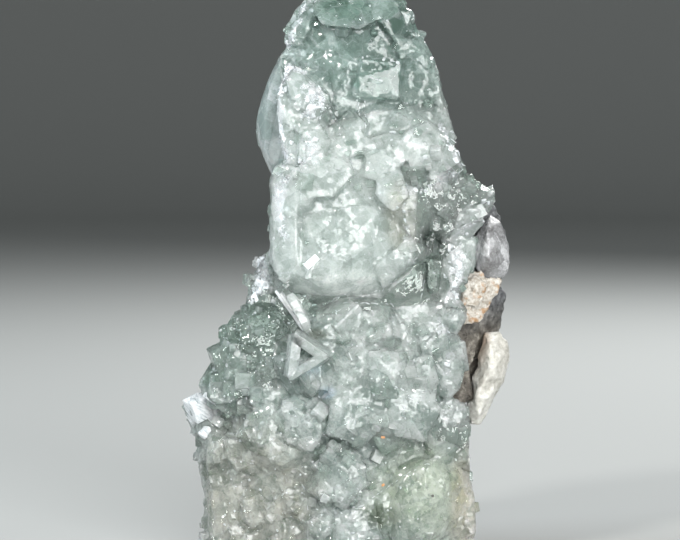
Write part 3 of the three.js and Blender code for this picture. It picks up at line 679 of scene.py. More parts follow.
def paint_surface(mesh):
    """Attributes for how frosted and how lively each place is; the whitest faces are marked."""
    places, normals = surface_of(mesh)
    frost, lively = np.zeros((2, len(places)), np.float32)
    for i, (place, normal, seen) in enumerate(zip(places, normals, as_seen(places))):
        if normal[1] < FROST_FRONT:
            frost[i] = stroke_share(*seen)
        lively[i] = liveliness(*listed(place), normal[1])
    for name, values in (("frost", frost), ("lively", lively)):
        mesh.attributes.new(name, "FLOAT", "POINT").data.foreach_set("value", values)
    for face in mesh.polygons:
        share = sum(frost[i] for i in face.vertices) / len(face.vertices)
        patchy = noise.noise(face.center / MM * WHITE_GRAIN) * WHITE_PATCHY
        if share > WHITE_LEAST and share + patchy > 1:
            face.material_index = EDGE_FROST_AND_HIGHLIGHT


def dress(obj, material, frost):
    """Gives a piece its finish, and white frost on the faces that are marked; on crystal bevels that
    white is partly a painted edge highlight.
    """
    mesh = obj.data
    marks = np.zeros(len(mesh.polygons), np.int32)
    mesh.polygons.foreach_get("material_index", marks)
    mesh.materials.clear()
    mesh.materials.append(material)
    mesh.materials.append(frost)
    mesh.polygons.foreach_set("material_index", (marks == EDGE_FROST_AND_HIGHLIGHT).astype(np.int32))
    paint_tint_and_light(mesh)
    paint_surface(mesh)


# ------------------------------------------------------------ shading help
BLACK, WHITE = (0, 0, 0), (1, 1, 1)
MIDDLE = (0.5, 0.5, 0.5)


def group_of(name, inputs, outputs):
    """A node group's tree, and the nodes that its inputs come from and its outputs go to."""
    tree = bpy.data.node_groups.new(name, "ShaderNodeTree")
    for labels, side in ((inputs, "INPUT"), (outputs, "OUTPUT")):
        for label in labels:
            kind = "Vector" if label in ("Place", "Bend", "Tilt") else "Float"
            tree.interface.new_socket(label, in_out=side, socket_type="NodeSocket" + kind)
    return tree, tree.nodes.new("NodeGroupInput").outputs, tree.nodes.new("NodeGroupOutput")


class Shading:
    """The nodes of a material or a group, and short ways to add to them."""

    def __init__(self, tree):
        self.tree = tree

    def give(self, made, values):
        """Gives a node's inputs, by name or number, a socket each or a value."""
        for name, value in dict(values).items():
            socket = made.inputs[name]
            if hasattr(value, "is_output"):
                self.tree.links.new(value, socket)
            elif socket.type == "RGBA":
                socket.default_value = (*value, 1)
            else:
                socket.default_value = value

    def node(self, kind, values=(), **settings):
        made = self.tree.nodes.new("ShaderNode" + kind)
        for name, value in settings.items():
            setattr(made, name, value)
        self.give(made, values)
        return made.outputs

    def math(self, operation, *values, clamp=False):
        return self.node("Math", enumerate(values), operation=operation, use_clamp=clamp)[0]

    def times(self, first, second, clamp=False):
        return self.math("MULTIPLY", first, second, clamp=clamp)

    def sum(self, value, amount, rest, clamp=False):
        """A value times an amount, and the rest."""
        return self.math("MULTIPLY_ADD", value, amount, rest, clamp=clamp)

    def vector(self, operation, *values):
        made = self.node("VectorMath", enumerate(values), operation=operation)
        return made["Value" if operation == "DOT_PRODUCT" else "Vector"]

    def scaled(self, vector, amount):
        return self.node("VectorMath", {0: vector, "Scale": amount}, operation="SCALE")["Vector"]

    def centred(self, colour):
        return self.vector("SUBTRACT", colour, MIDDLE)

    def ramp(self, value, *stops):
        """A value's colour, by stops [place, colour]."""
        made = self.tree.nodes.new("ShaderNodeValToRGB")
        self.give(made, {0: value})
        elements = made.color_ramp.elements
        while len(elements) < len(stops):
            elements.new(0.5)
        for element, (place, colour) in zip(elements, stops):
            element.position = place
            element.color = (*colour, 1)
        return made.outputs[0]

    def mix(self, share, first, second, blend="MIX"):
        return self.node("Mix", {0: share, 6: first, 7: second}, data_type="RGBA", blend_type=blend)[2]

    def noise(self, place, scale, detail=4, roughness=0.55, distortion=0.0):
        return self.node("TexNoise", {
            "Vector": place, "Scale": scale, "Detail": detail, "Roughness": roughness,
            "Distortion": distortion})["Fac"]

    def bends(self, place, scale, detail):
        """A vector that changes slowly from place to place."""
        made = self.node("TexNoise", {"Vector": place, "Scale": scale, "Detail": detail})
        return self.centred(made["Color"])

    def part(self, colour, number):
        return self.node("SeparateColor", {"Color": colour})[number]

    def turned(self, vector, **values):
        return self.node("Mapping", {"Vector": vector, **values})[0]

    def attribute(self, name, output="Fac"):
        return self.node("Attribute", attribute_name=name)[output]

    def bump(self, height, strength, distance):
        """The normal of a rough surface, whose relief is in millimetres."""
        return self.node("Bump", {"Strength": strength, "Distance": distance * MM, "Height": height})[0]


def broken_facets_group():
    """Facets at random tilts: the height at a place, and a number for each facet."""
    tree, given, out = group_of("broken_facets", ("Place", "Scale", "Warp"), ("Height", "Facet"))
    s = Shading(tree)
    wobble = s.bends(given["Place"], 0.6, 2)
    place = s.vector("ADD", given["Place"], s.scaled(wobble, given["Warp"]))
    cells = s.node("TexVoronoi", {"Vector": place, "Scale": given["Scale"]})
    away = s.vector("SUBTRACT", place, cells["Position"])
    s.give(out, {
        "Height": s.vector("DOT_PRODUCT", away, s.centred(cells["Color"])),
        "Facet": s.part(cells["Color"], 0),
    })
    return tree


def grown_cubes_group():
    """Square-sided growth blocks: each one's tone and tilt, the lines between them, and a painted shade
    that ramps across each block as if it were a lit facet.
    """
    tree, given, out = group_of(
        "grown_cubes", ("Place", "Bend", "Scale", "Warp"), ("Tone", "Slope", "Line", "Tilt"))
    s = Shading(tree)
    place = s.vector("ADD", given["Place"], s.scaled(given["Bend"], given["Warp"]))
    first, second = (
        s.node("TexVoronoi", {"Vector": place, "Scale": given["Scale"], "Randomness": 0.85},
               distance="CHEBYCHEV", feature=feature)
        for feature in ("F1", "F2"))
    gap = s.math("SUBTRACT", second["Distance"], first["Distance"])
    tilt = s.centred(first["Color"])
    s.give(out, {
        "Line": s.sum(gap, -22, 1.2, clamp=True),
        "Tone": s.part(first["Color"], 1),
        # painted shade: brightness ramps across each block like light on a tilted facet
        "Slope": s.vector("DOT_PRODUCT", s.vector("SUBTRACT", place, first["Position"]), tilt),
        "Tilt": tilt,
    })
    return tree


FACETS, GROWN = broken_facets_group(), grown_cubes_group()


class Material(Shading):
    """A material whose nodes start from places in millimetres."""

    def __init__(self, name):
        self.material = bpy.data.materials.new(name)
        self.material.use_nodes = True
        super().__init__(self.material.node_tree)
        self.place = self.scaled(self.node("TexCoord")["Object"], 1 / MM)

    def facets(self, scale, warp):
        return self.node("Group", {"Place": self.place, "Scale": scale, "Warp": warp}, node_tree=FACETS)

    def blocks(self, bend, scale, warp, turn):
        """One layer of growth blocks, at a turn of its own."""
        place = self.turned(self.place, Rotation=turn)
        return self.node("Group", {"Place": place, "Bend": bend, "Scale": scale, "Warp": warp},
                         node_tree=GROWN)

    def finish(self, colour, roughness, normal, *more):
        """Connects the surface."""
        values = {"Base Color": colour, "Roughness": roughness, "Normal": normal}
        for others in more:
            values.update(others)
        self.give(self.tree.nodes["Principled BSDF"], values)
        return self.material


def glass(share):
    return {"Transmission Weight": share, "IOR": 1.434}


def soft(share, depth):
    """Light that goes into the stone, to a depth in millimetres."""
    return {"Subsurface Weight": share, "Subsurface Radius": (1.0, 1.0, 1.0),
            "Subsurface Scale": depth * MM}


# ------------------------------------------------------------ fluorite finishes
# Layers of growth blocks, large to tiny: how close together, how bent and their turn.
BLOCKS = [
    (0.17, 3.0, (0.5, 0.3, 0.4)),
    (0.42, 2.0, (0.2, 0.9, 0.7)),
    (1.1, 1.0, (0.8, 0.4, 0.1)),
    (2.4, 1.0, (0.4, 0.2, 0.9)),
]
TILTS = (0.14, 0.24, 0.28)  # how much the middle, small and tiny blocks tilt their faces
RIME_AND_GLINT_WHITE = (0.84, 0.88, 0.9)
SEA_GREEN, SEA_DEPTH = (0.62, 0.78, 0.7), 6  # what the light takes on inside, and how fast


def depths(m):
    """What lies inside the fluorite: milkiness with painted facet shade, bright lines, small bright
    painted glints, and how facets tilt.
    """
    bend = m.bends(m.place, 0.09, 0)
    large, middle, small, tiny = (m.blocks(bend, *layer) for layer in BLOCKS)
    cloud, fine = m.noise(m.place, 0.75, 3, 0.7), m.noise(m.place, 3.4, 2, 0.7)
    milk_and_facet_shade = 0.5
    # the blocks' ramps add painted facet shade to the milkiness
    for value, share in (
            (m.noise(m.place, 0.12, 1, 0.6, 0.4), 0.7), (large["Tone"], 0.4),
            (large["Slope"], 0.09), (middle["Tone"], 0.34), (middle["Slope"], 0.2),
            (small["Tone"], 0.3), (small["Slope"], 0.42), (cloud, 0.45), (fine, 0.8)):
        around_zero = value if value.name == "Slope" else m.math("SUBTRACT", value, 0.5)
        milk_and_facet_shade = m.sum(around_zero, share, milk_and_facet_shade)
    line = m.math("MAXIMUM", large["Line"], m.times(middle["Line"], 0.75))
    line = m.times(line, m.ramp(cloud, (0.38, BLACK), (0.74, WHITE)))  # not everywhere
    # painted glints: a few small cells turn bright in the colour
    glint_cells = m.node("TexVoronoi", {"Vector": m.place, "Scale": 1.7})
    dot = m.sum(glint_cells["Distance"], -7, 1.9, clamp=True)
    dot = m.times(dot, m.math("GREATER_THAN", m.part(glint_cells["Color"], 0), 0.88))
    tilt = m.scaled(middle["Tilt"], TILTS[0])
    for layer, amount in ((small, TILTS[1]), (tiny, TILTS[2])):
        tilt = m.vector("ADD", tilt, m.scaled(layer["Tilt"], amount))
    tilt = m.scaled(tilt, m.sum(m.attribute("lively"), 0.6, 0.3))
    return milk_and_facet_shade, m.math("MAXIMUM", line, dot), tilt


def fluorite_material(name, clear, dark, bright, depth):
    """Fluorite, from glass-clear to milky."""
    m = Material(name)
    milk_and_facet_shade, line, tilt = depths(m)
    tone = m.ramp(milk_and_facet_shade, (0.1, dark), (0.9, bright))
    colour = m.mix(1.0, tone, m.attribute("tint_and_light", "Color"), "MULTIPLY")
    rime = m.sum(milk_and_facet_shade, 0.8, m.math("SUBTRACT", m.attribute("frost"), 0.9))
    rime = m.times(rime, 3, clamp=True)
    # bright lines, painted glints and frost whiten the colour
    colour = m.mix(m.math("MAXIMUM", m.times(line, 0.5), rime), colour, RIME_AND_GLINT_WHITE)
    rough = m.sum(rime, 0.2, m.sum(milk_and_facet_shade, 0.08, 0.01))
    normal = m.vector("NORMALIZE", m.vector("ADD", m.node("NewGeometry")["Normal"], tilt))
    inside = m.node("VolumeAbsorption", {"Color": SEA_GREEN, "Density": SEA_DEPTH})[0]
    m.give(m.tree.nodes["Material Output"], {"Volume": inside})
    return m.finish(colour, rough, normal, glass(clear), soft(1.0, depth) if depth else {})


def frost_material(name, clear):
    """White frost: crushed and glassy as a crust, dense on worn edges; on crystal bevels this white is
    partly a painted edge highlight.
    """
    m = Material(name)
    grain, tone = m.noise(m.place, 2.6, 5, 0.7), m.noise(m.place, 0.3, 3)
    colour = m.ramp(tone, (0.35, (0.5, 0.54, 0.55)), (0.65, (0.68, 0.71, 0.74)))
    height = m.sum(m.facets(1.6, 0.3)["Height"], 0.5, m.times(grain, 0.3))
    normal = m.bump(height, 0.7, 0.6)
    return m.finish(colour, m.sum(grain, 0.5, 0.02), normal, glass(clear), soft(0.5, 0.8))


def striated_material():
    """White, glassy crystals with fine parallel growth lines."""
    m = Material("striated_white")
    along_lines = m.turned(m.turned(m.place, Rotation=(0.3, 0.8, 0.4)), Scale=(3.4, 0.5, 0.5))
    grain, lines = m.noise(m.place, 1.4, 5, 0.7), m.noise(along_lines, 1.0, 4, 0.6)
    tone = m.sum(lines, 1.2, m.sum(grain, 0.8, -0.35))
    colour = m.ramp(tone, (0.35, (0.26, 0.3, 0.31)), (0.55, (0.64, 0.69, 0.71)), (0.8, (0.9, 0.92, 0.94)))
    height = m.sum(lines, 0.12, m.times(grain, 0.4))
    return m.finish(colour, m.times(grain, 0.3), m.bump(height, 0.8, 0.6), glass(0.3), soft(0.8, 1.5))


def grain_material(kind, low, high):
    """The small foreign grains on the fluorite."""
    m = Material(kind + "_grain")
    grain = m.noise(m.place, 5, 3)
    return m.finish(m.ramp(grain, (0.35, low), (0.65, high)), 0.7, m.bump(grain, 0.6, 0.1))


# How the fluorite is divided by clearness. Each block has a middle x and z, half sizes and
# a turn in degrees, and goes through the whole depth; what no block takes is clear.
MILKY = [
    ((-0.6, 54), (11.4, 11), 4),  # lobe
    ((6.5, 66), (12, 6), -12),  # band above the lobe
    ((-7.2, 70), (4.2, 9), 12),  # frosted mass
    ((18, 45.5), (3, 4.4), 8),
    ((20, 53), (3, 4), 20),
]
CLOUDY = [
    ((1, 80), (15, 14), 0),
    ((-12.6, 71), (3.4, 11.5), 0),
    ((6, 31), (17, 10), -6),
    ((-7, 19), (21, 9), 5),
    ((0, 8), (26, 12), 0),
    ((-21, 30), (4, 6), 30),
]
THROUGH = 60  # the blocks' depth
SKIN = 0.05 * MM  # how far the milkier parts stand out of the clear one
CRYSTAL_CREASE, STONE_CREASE = 16, 35  # faces that meet at more degrees have a sharp edge

# Each finish: how clear it is, its darkest and palest colour, and how deep light goes in.
FINISHES = {
    "clear": ("sea_green_fluorite", 0.86, (0.55, 0.66, 0.6), (0.92, 0.97, 0.94), 0),
    "cloudy": ("cloudy_fluorite", 0.66, (0.37, 0.44, 0.41), (0.81, 0.87, 0.845), 3),
    "milky": ("milky_fluorite", 0.52, (0.41, 0.47, 0.445), (0.7, 0.76, 0.735), 4.5),
}
GRAIN_COLOURS = {
    "rusty": ((0.3, 0.12, 0.04), (0.62, 0.34, 0.16)),
    "dark": ((0.02, 0.02, 0.02), (0.1, 0.1, 0.09)),
}
FROST_SEED, LINE_SEED, GLINT_SPECK_SEED, STAIN_SEED = 77, 5, 6, 9


def division_tool(blocks, shapes):
    """The blunt blocks, joined, that mark out one kind of fluorite."""
    first = None
    for (x, z), (across, up), angle in blocks:
        turn = Matrix.Rotation(math.radians(angle), 3, "Y")
        seat = Vector((x + SHIFT_X, 0, z)), 1, turn, (2 * across, THROUGH, 2 * up), "worn"
        block = add_object("block", crystal_mesh([seat], shapes))
        if first is None:
            first = block
        else:
            combine(first, "UNION", block)
            bpy.data.objects.remove(block)
    return first


def divide(body, blocks, name, shapes):
    """Takes the part of the body inside the blocks away, as a piece that stands out a little."""
    part = add_object(name, body.data.copy())
    tool = division_tool(blocks, shapes)
    combine(part, "INTERSECT", tool)
    combine(body, "DIFFERENCE", tool)
    bpy.data.objects.remove(tool)
    places, normals = surface_of(part.data)
    put_back(part.data, places + normals * SKIN)
    return part


def scattered(name, seats, shapes, material):
    """One mesh of many small pieces that sit on the fluorite."""
    mesh = crystal_mesh(seats, shapes)
    mesh.materials.clear()
    mesh.polygons.foreach_set("material_index", [0] * len(mesh.polygons))
    mesh.materials.append(material)
    obj = add_object(name, mesh)
    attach(obj, "root")


def make_fluorite():
    shapes = {name: cube_shape(*cube) for name, cube in CUBES.items()}
    crust, frost = frost_material("white_crust_and_glints", 0.3), frost_material("white_frost_and_edge_highlight", 0.0)
    body, ground = fluorite_body(shapes)
    tree = tree_of(body.data)
    seats = seat_crystals(ground, patch_at, CRISP_TRIES, CRISP_SEED, tree)
    seats += single_seats(tree) + built_seats(tree)
    pieces = {
        "milky": divide(body, MILKY, "milky_fluorite", shapes),
        "cloudy": divide(body, CLOUDY, "cloudy_fluorite", shapes),
        "clear": body,
    }
    for look, finish in FINISHES.items():
        obj = pieces[look]
        join_crystals(obj, [seat for seat in seats if seat[-1] == look], shapes)
        dress(obj, fluorite_material(*finish), frost)
        shade_smooth(obj, CRYSTAL_CREASE)
        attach(obj, "root")
        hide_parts("fluorite_cluster")
    for name, look, finish in (("white_crystal", "white", frost),
                               ("striated_crystals", "striated", striated_material())):
        scattered(name, [seat for seat in seats if seat[-1] == look], shapes, finish)
    shapes["grain"] = grain_shape()
    scattered("frost", frost_seats(tree, random.Random(FROST_SEED)), shapes, crust)
    lines = line_seats(tree, random.Random(LINE_SEED))
    glint_specks = glint_speck_seats(tree, random.Random(GLINT_SPECK_SEED))
    scattered("growth_lines_and_glints", lines + glint_specks, shapes, crust)
    for kind, colours in GRAIN_COLOURS.items():
        stains = stain_seats(tree, kind, random.Random(STAIN_SEED))
        scattered(kind + "_grains", stains, shapes, grain_material(kind, *colours))


# ------------------------------------------------------------ frost
# Strokes of white crust on the front: the line they follow [x, z], how wide, and
# how many grains lie on each square millimetre.
FROST = [
    ([(-9.4, 83), (-8.2, 86), (-6.4, 89.4), (-4.5, 91)], 1.3, 2.0),
    ([(-9.2, 80), (-10.4, 76), (-10.8, 72), (-10.4, 68), (-9.6, 64)], 1.0, 2.2),
    ([(-5.6, 75), (-4.6, 73), (-5.4, 71.6)], 3.6, 2.4),
    ([(-9.6, 79.4), (-6.6, 78.4)], 0.8, 2.4),
    ([(-8.4, 69), (-5, 66), (-7, 63.4)], 4.0, 0.5),
    ([(18.8, 63), (17.2, 66.4), (15.2, 70)], 1.3, 2.4),
    ([(10, 59.5), (14.6, 60.5), (17.8, 62)], 2.6, 1.4),
    ([(2, 66), (8, 68), (13.4, 66.6)], 3.2, 0.4),
    ([(-10.2, 63), (-10.8, 57), (-10.4, 51)], 2.0, 1.1),
    ([(9.6, 57), (10, 51)], 1.2, 1.2),
    ([(-14, 48.4), (-13.4, 44), (-15.4, 41)], 2.0, 2.4),
    ([(17, 50), (18.4, 46), (17.6, 42)], 3.0, 2.0),
    ([(18, 52), (22.6, 55), (23.4, 59)], 1.2, 1.2),
    ([(15, 38), (17.4, 34), (16, 30)], 2.2, 0.8),
]
GRAIN, SMALL_FLAKES = (0.25, 1.0), 1.8  # a flake's size, and how many more are small
FLAKES = 0.3  # how many flakes are laid, as a share of what the strokes say
FLAKE_STRAY, FLAKE_TILT = 0.32, 0.3  # how far off the line, of its width, and how unevenly
FLAKE = (0.7, 1.3), (0.7, 1.3), (0.3, 0.6)  # its proportions

# Bright grains of white crust strewn as painted glints: the middle of a zone, its half width and half
# height, and how many.
GLINT_SPECKS = [
    ((-3, 20), (22, 20), 170),
    ((-15, 34), (7, 7), 60),
    ((3, 72), (14, 18), 60),
    ((18, 52), (7, 12), 40),
    ((-12, 10), (10, 10), 50),
]
GLINT_SPECK = (0.12, 0.4)
GLINT_SPECK_LENGTH = (0.6, 1.5)
SPLINTER, LEFT_OUT = 0.55, 0.3  # how far apart the splinters of a line are; how many are missing
SPLINTER_PLACE, SPLINTER_STRAY, SPLINTER_TURN = (0.2, 0.8), 0.25, 0.16
SPLINTER_LENGTH, SPLINTER_DEPTH, SPLINTER_HEIGHT = (0.3, 0.95), 0.6, (0.3, 1.1)

# Thin bright lines where growth faces meet, through points [x, z] on the front, and their width.
LINES = [
    ([(2.4, 81.1), (5.6, 80.7), (8.6, 79.9)], 0.7),
    ([(8.6, 79.6), (7.8, 77.6), (6.6, 75.4)], 0.16),
    ([(3.1, 77.5), (6.1, 77.1)], 0.3),
    ([(2.1, 73.6), (2.3, 68.7)], 0.24),
    ([(3.0, 73.8), (3.2, 69.2)], 0.18),
    ([(-4.2, 87.4), (-0.6, 86.2), (2.9, 85.0), (5.7, 87.1), (3.6, 90.0)], 0.16),
    ([(-7.3, 62.7), (-7.3, 56), (-7.1, 49.6)], 0.18),
    ([(11.6, 48.4), (8.8, 45.4), (5.7, 42.9)], 0.2),
    ([(5.7, 42.9), (-0.6, 42.4), (-2.6, 41.2)], 0.16),
    ([(-0.2, 41.0), (3.6, 40.9), (7.5, 40.8)], 0.22),
    ([(7.5, 40.8), (7.7, 35.8)], 0.16),
    ([(13.4, 47.3), (12.1, 41.4)], 0.18),
    ([(10.9, 47.5), (14.9, 47.1)], 0.16),
    # The next two are painted glints: short white bars where the crystal sparkles.
    ([(8.0, 27.6), (10.4, 25.7), (11.7, 24.7)], 0.36),
    ([(9.2, 24.6), (9.8, 21.6)], 0.45),
    ([(-7.5, 13.4), (-6.6, 9.0), (-5.4, 4.6)], 0.24),
    ([(0.7, 6.6), (5, 9.8), (9.9, 13.2), (14.6, 15.4)], 0.2),
]

# Crystals built of bars: where each stands [x, z] and how far out, then its bars' middles
# [x, z] from there, sizes, turns in degrees, shapes and looks.
BUILT = [
    ((-6.9, 32.1), 1.0, [
        ((1.0, 1.9), (6.2, 3.6, 1.5), (12, 35, 0), "plain", "milky"),
        ((0.7, -1.6), (6.9, 3.6, 1.4), (-14, -32, 0), "plain", "milky"),
        ((-1.7, 0.1), (1.6, 3.2, 6.6), (0, 7, 14), "plain", "milky"),
    ]),
    ((-8.6, 39.4), 1.2, [
        ((-0.6, 0.5), (7.2, 3.0, 0.6), (0, 54, 0), "worn", "striated"),
        ((-0.1, 0.2), (6.8, 2.6, 0.7), (8, 57, 0), "worn", "striated"),
        ((0.8, 0.1), (6.2, 2.4, 1.9), (-8, 63, 0), "worn", "milky"),
    ]),
]

# Foreign grains: [x, z], size, and whether it is rusty or dark.
STAINS = [((6.0, 19.2), 0.5, "rusty"), ((6.0, 11.4), 0.4, "rusty"), ((14, 9.6), 0.45, "dark")]
STAIN_SHAPE = (1.2, 0.8, 0.9)

# Crystals that stand out on their own: middle [x, z], how far they stand out, size, turn in
# degrees about X, Y and Z, shape and look.
SINGLE = [
    ((-23.7, 23.6), 1.0, (3.2, 3.4, 3.5), (8, -22, 28), "stepped", "striated"),
    ((-25.2, 24.6), 0.8, (1.7, 1.8, 1.7), (30, 12, 10), "plain", "striated"),
    ((-22.4, 25.6), 0.7, (1.8, 2, 1.6), (15, 35, 40), "edged", "striated"),
    ((-24.9, 21.4), 0.8, (1.8, 2, 2), (40, -30, 15), "plain", "striated"),
    ((-22.9, 20.2), 0.8, (2.2, 2.2, 2.2), (20, 15, 50), "worn", "striated"),
    ((-21.6, 22.8), 0.6, (2, 2, 2.4), (10, 50, 25), "stepped", "striated"),
    ((-5.6, 47.6), 0.8, (2.5, 0.8, 1.1), (0, -42, 8), "plain", "white"),
    ((-13.4, 45.4), 0.8, (2.4, 2, 5.2), (5, 14, 20), "worn", "milky"),
    ((-14.4, 44.0), 0.7, (2.0, 2, 3.4), (15, 4, 40), "stepped", "striated"),
    ((-1.8, 38.4), 1.0, (5.4, 5, 5), (20, -42, 18), "edged", "cloudy"),
    ((-3.1, 26.3), 0.7, (2.2, 0.8, 0.6), (0, -35, 5), "worn", "milky"),
    ((3.7, 38.4), 0.8, (7.4, 4, 4.8), (4, 2, -8), "stepped", "clear"),
    ((12.4, 38.2), 0.9, (5, 4.4, 5), (12, 24, 30), "stepped", "clear"),
    ((17.2, 33.0), 0.9, (4.4, 4.4, 5), (10, -14, 24), "stepped", "cloudy"),
    ((-19, 31.6), 0.7, (7.6, 4, 4.8), (6, -20, 12), "stepped", "clear"),
    ((-11.4, 27), 0.8, (3.4, 4, 6.2), (6, 8, 24), "worn", "clear"),
    ((14.8, 26.6), 0.8, (3.4, 4, 9.6), (3, -5, -12), "worn", "clear"),
    ((17.2, 21.4), 0.4, (3, 4, 8), (4, 6, 20), "worn", "cloudy"),
    ((-2.5, 13.2), 0.9, (5.4, 4.6, 5), (14, 32, 18), "stepped", "clear"),
    ((8.2, 19), 0.9, (7, 4.6, 5.6), (8, -28, 14), "stepped", "clear"),
    ((19.4, 9), 0.5, (2.6, 6, 14.4), (2, 8, 16), "worn", "cloudy"),
    ((17.6, 6.4), 0.5, (2.2, 6, 11), (2, 20, 20), "worn", "cloudy"),
]


def lengths(line):
    return [math.dist(a, b) for a, b in zip(line, line[1:])]


def along(line, share):
    """The place at a share of the way along a line of points."""
    left = share * sum(lengths(line))
    for a, b, length in zip(line, line[1:], lengths(line)):
        if left <= length:
            return tuple(p + (q - p) * left / length for p, q in zip(a, b))
        left -= length
    return line[-1]


def front_place(tree, x, z):
    """Where the line of sight to [x, z] meets the surface, and the normal there."""
    target = AIM + Vector(((x + SHIFT_X) * MM - AIM.x, 0, 0)) + UPWARD * (z * MM - AIM.z)
    place, normal, _, _ = tree.ray_cast(EYE, (target - EYE).normalized())
    return place, normal


def frost_seats(tree, rng):
    """Flat flakes, laid along each stroke."""
    seats = []
    for line, width, thickness in FROST:
        for _ in range(int((sum(lengths(line)) + width) * width * thickness * FLAKES)):
            x, z = along(line, rng.uniform(-0.02, 1.02))
            stray = rng.gauss(0, width * FLAKE_STRAY), rng.gauss(0, width * FLAKE_STRAY)
            place, normal = front_place(tree, x + stray[0], z + stray[1])
            if place is None:
                continue
            size = between(GRAIN, rng.random() ** SMALL_FLAKES)
            tilt = Vector([c + rng.gauss(0, FLAKE_TILT) for c in normal]).normalized()
            spin = Matrix.Rotation(rng.uniform(0, 6.3), 3, "Z")
            turn = tilt.to_track_quat("Z", "Y").to_matrix() @ spin
            seats.append((place / MM, size, turn, [rng.uniform(*ends) for ends in FLAKE], "grain"))
    return seats


# painted glints: tiny grains of white crust strewn over each zone
def glint_speck_seats(tree, rng):
    seats = []
    for middle, half, count in GLINT_SPECKS:
        for _ in range(count):
            x, z = (m + h * rng.uniform(-1, 1) for m, h in zip(middle, half))
            place, _ = front_place(tree, x, z)
            if place is not None:
                size, turn = between(GLINT_SPECK, rng.random() ** 2), random_turn(rng)
                seats.append((place / MM, size, turn, (rng.uniform(*GLINT_SPECK_LENGTH), 0.8, 1), "grain"))
    return seats


def line_seats(tree, rng):
    """Short thin splinters, end to end along each line, some left out."""
    seats = []
    stretches = [(start, end, width) for points, width in LINES for start, end in zip(points, points[1:])]
    for start, end, width in stretches:
        count = max(1, round(math.dist(start, end) / SPLINTER))
        for k in range(count):
            share = (k + rng.uniform(*SPLINTER_PLACE)) / count
            x, z = (a + (b - a) * share + rng.gauss(0, width * SPLINTER_STRAY)
                    for a, b in zip(start, end))
            place, normal = front_place(tree, x, z)
            if place is None or rng.random() < LEFT_OUT:
                continue
            side = Vector((end[0] - start[0], 0, end[1] - start[1])).normalized()
            side = (side - normal * side.dot(normal)).normalized()
            turn = Matrix((side, normal, side.cross(normal))).transposed()
            turn = turn @ Matrix.Rotation(rng.gauss(0, SPLINTER_TURN), 3, "Y")
            size = (rng.uniform(*SPLINTER_LENGTH), width * SPLINTER_DEPTH,
                    width * rng.uniform(*SPLINTER_HEIGHT))
            seats.append((place / MM, 1, turn, size, "worn"))
    return seats


def single_seats(tree):
    """Where the crystals that stand out on their own go."""
    seats = []
    for (x, z), out, size, angles, shape, look in SINGLE:
        place, normal = front_place(tree, x, z)
        turn = turned(angles)
        reach = sum(abs(c) * h / 2 for c, h in zip(normal @ turn, size))
        seats.append((place / MM + normal * (out - reach), 1, turn, size, shape, look))
    return seats


def built_seats(tree):
    """The bars of the crystals that are built of bars, each group about one place."""
    seats = []
    for spot, out, bars in BUILT:
        anchor = front_place(tree, *spot)[0] / MM
        for (across, up), size, angles, shape, look in bars:
            centre = anchor + Vector((across, size[1] / 2 - out, up))
            seats.append((centre, 1, turned(angles), size, shape, look))
    return seats


def stain_seats(tree, kind, rng):
    return [(front_place(tree, *spot)[0] / MM, size, random_turn(rng), STAIN_SHAPE, "grain")
            for spot, size, this in STAINS if this == kind]


make_fluorite()


# ------------------------------------------------------------ the other minerals
def stone_copy(node, name, voxel, smooth, swell):
    """A CAD node's solid with a natural broken surface."""
    obj = merged_copy(node, name)
    finish_with(obj, "REMESH", mode="VOXEL", voxel_size=voxel * MM, adaptivity=0.0)
    finish_with(obj, "SMOOTH", factor=0.5, iterations=smooth)
    places, normals = surface_of(obj.data)
    for i, (place, normal) in enumerate(zip(places, normals)):
        places[i] = place + normal * float(swell(Vector(listed(place)))) * MM
    put_back(obj.data, places)
    shade_smooth(obj, STONE_CREASE)
    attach(obj, "root")
    node if node != "sulphide_matrix" else "sulphide"
    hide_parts(node)
    return obj


def matrix_swell(p):
    return chip(p, 2.2, 0.5) + chip(p, 0.9, 0.3) + noise.noise(p * 0.8) * 0.2 - 0.1


def smoky_swell(p):
    return chip(p, 3.4, 0.35) + noise.noise(p * 0.5) * 0.2 + noise.noise(p * 1.9) * 0.06 - 0.05


def crust_swell(p):
    pits = max(0.0, 0.34 - noise.voronoi(p / 1.5)[0][0]) * 1.8
    return noise.noise(p * 1.1) * 0.3 + noise.noise(p * 2.7) * 0.2 - pits + 0.1


def cream_swell(p):
    bands = noise.noise(Vector((p.x * 0.5, p.y * 0.5, p.z * 0.22)) + Vector((4, 0, 0))) * 0.35
    return bands + chip(p, 1.6, 0.35) + noise.noise(p * 2.3) * 0.12 - 0.05


def sulphide_material():
    """Dark grey with metal glints, brown and dull low down."""
    m = Material("dark_sulphide")
    grain, fine = m.noise(m.place, 0.8, 6, 0.7), m.noise(m.place, 4, 4, 0.6)
    facets = m.facets(1.3, 0.2)
    up = m.node("SeparateXYZ", {"Vector": m.place})[2]
    low = m.ramp(m.times(up, 0.01), (0.36, WHITE), (0.42, BLACK))
    grey = m.ramp(grain, (0.35, (0.03, 0.034, 0.036)), (0.55, (0.13, 0.135, 0.14)),
                  (0.72, (0.3, 0.31, 0.32)))
    brown = m.ramp(grain, (0.3, (0.02, 0.018, 0.014)), (0.5, (0.09, 0.08, 0.065)),
                   (0.7, (0.3, 0.28, 0.24)))
    metal = m.ramp(facets["Facet"], (0.35, BLACK), (0.5, (0.75, 0.75, 0.75)))
    normal = m.bump(m.sum(facets["Height"], 0.4, fine), 0.7, 0.4)
    return m.finish(m.mix(low, grey, brown), m.times(grain, 0.7), normal,
                    {"Metallic": m.times(metal, m.math("SUBTRACT", 1, low))})


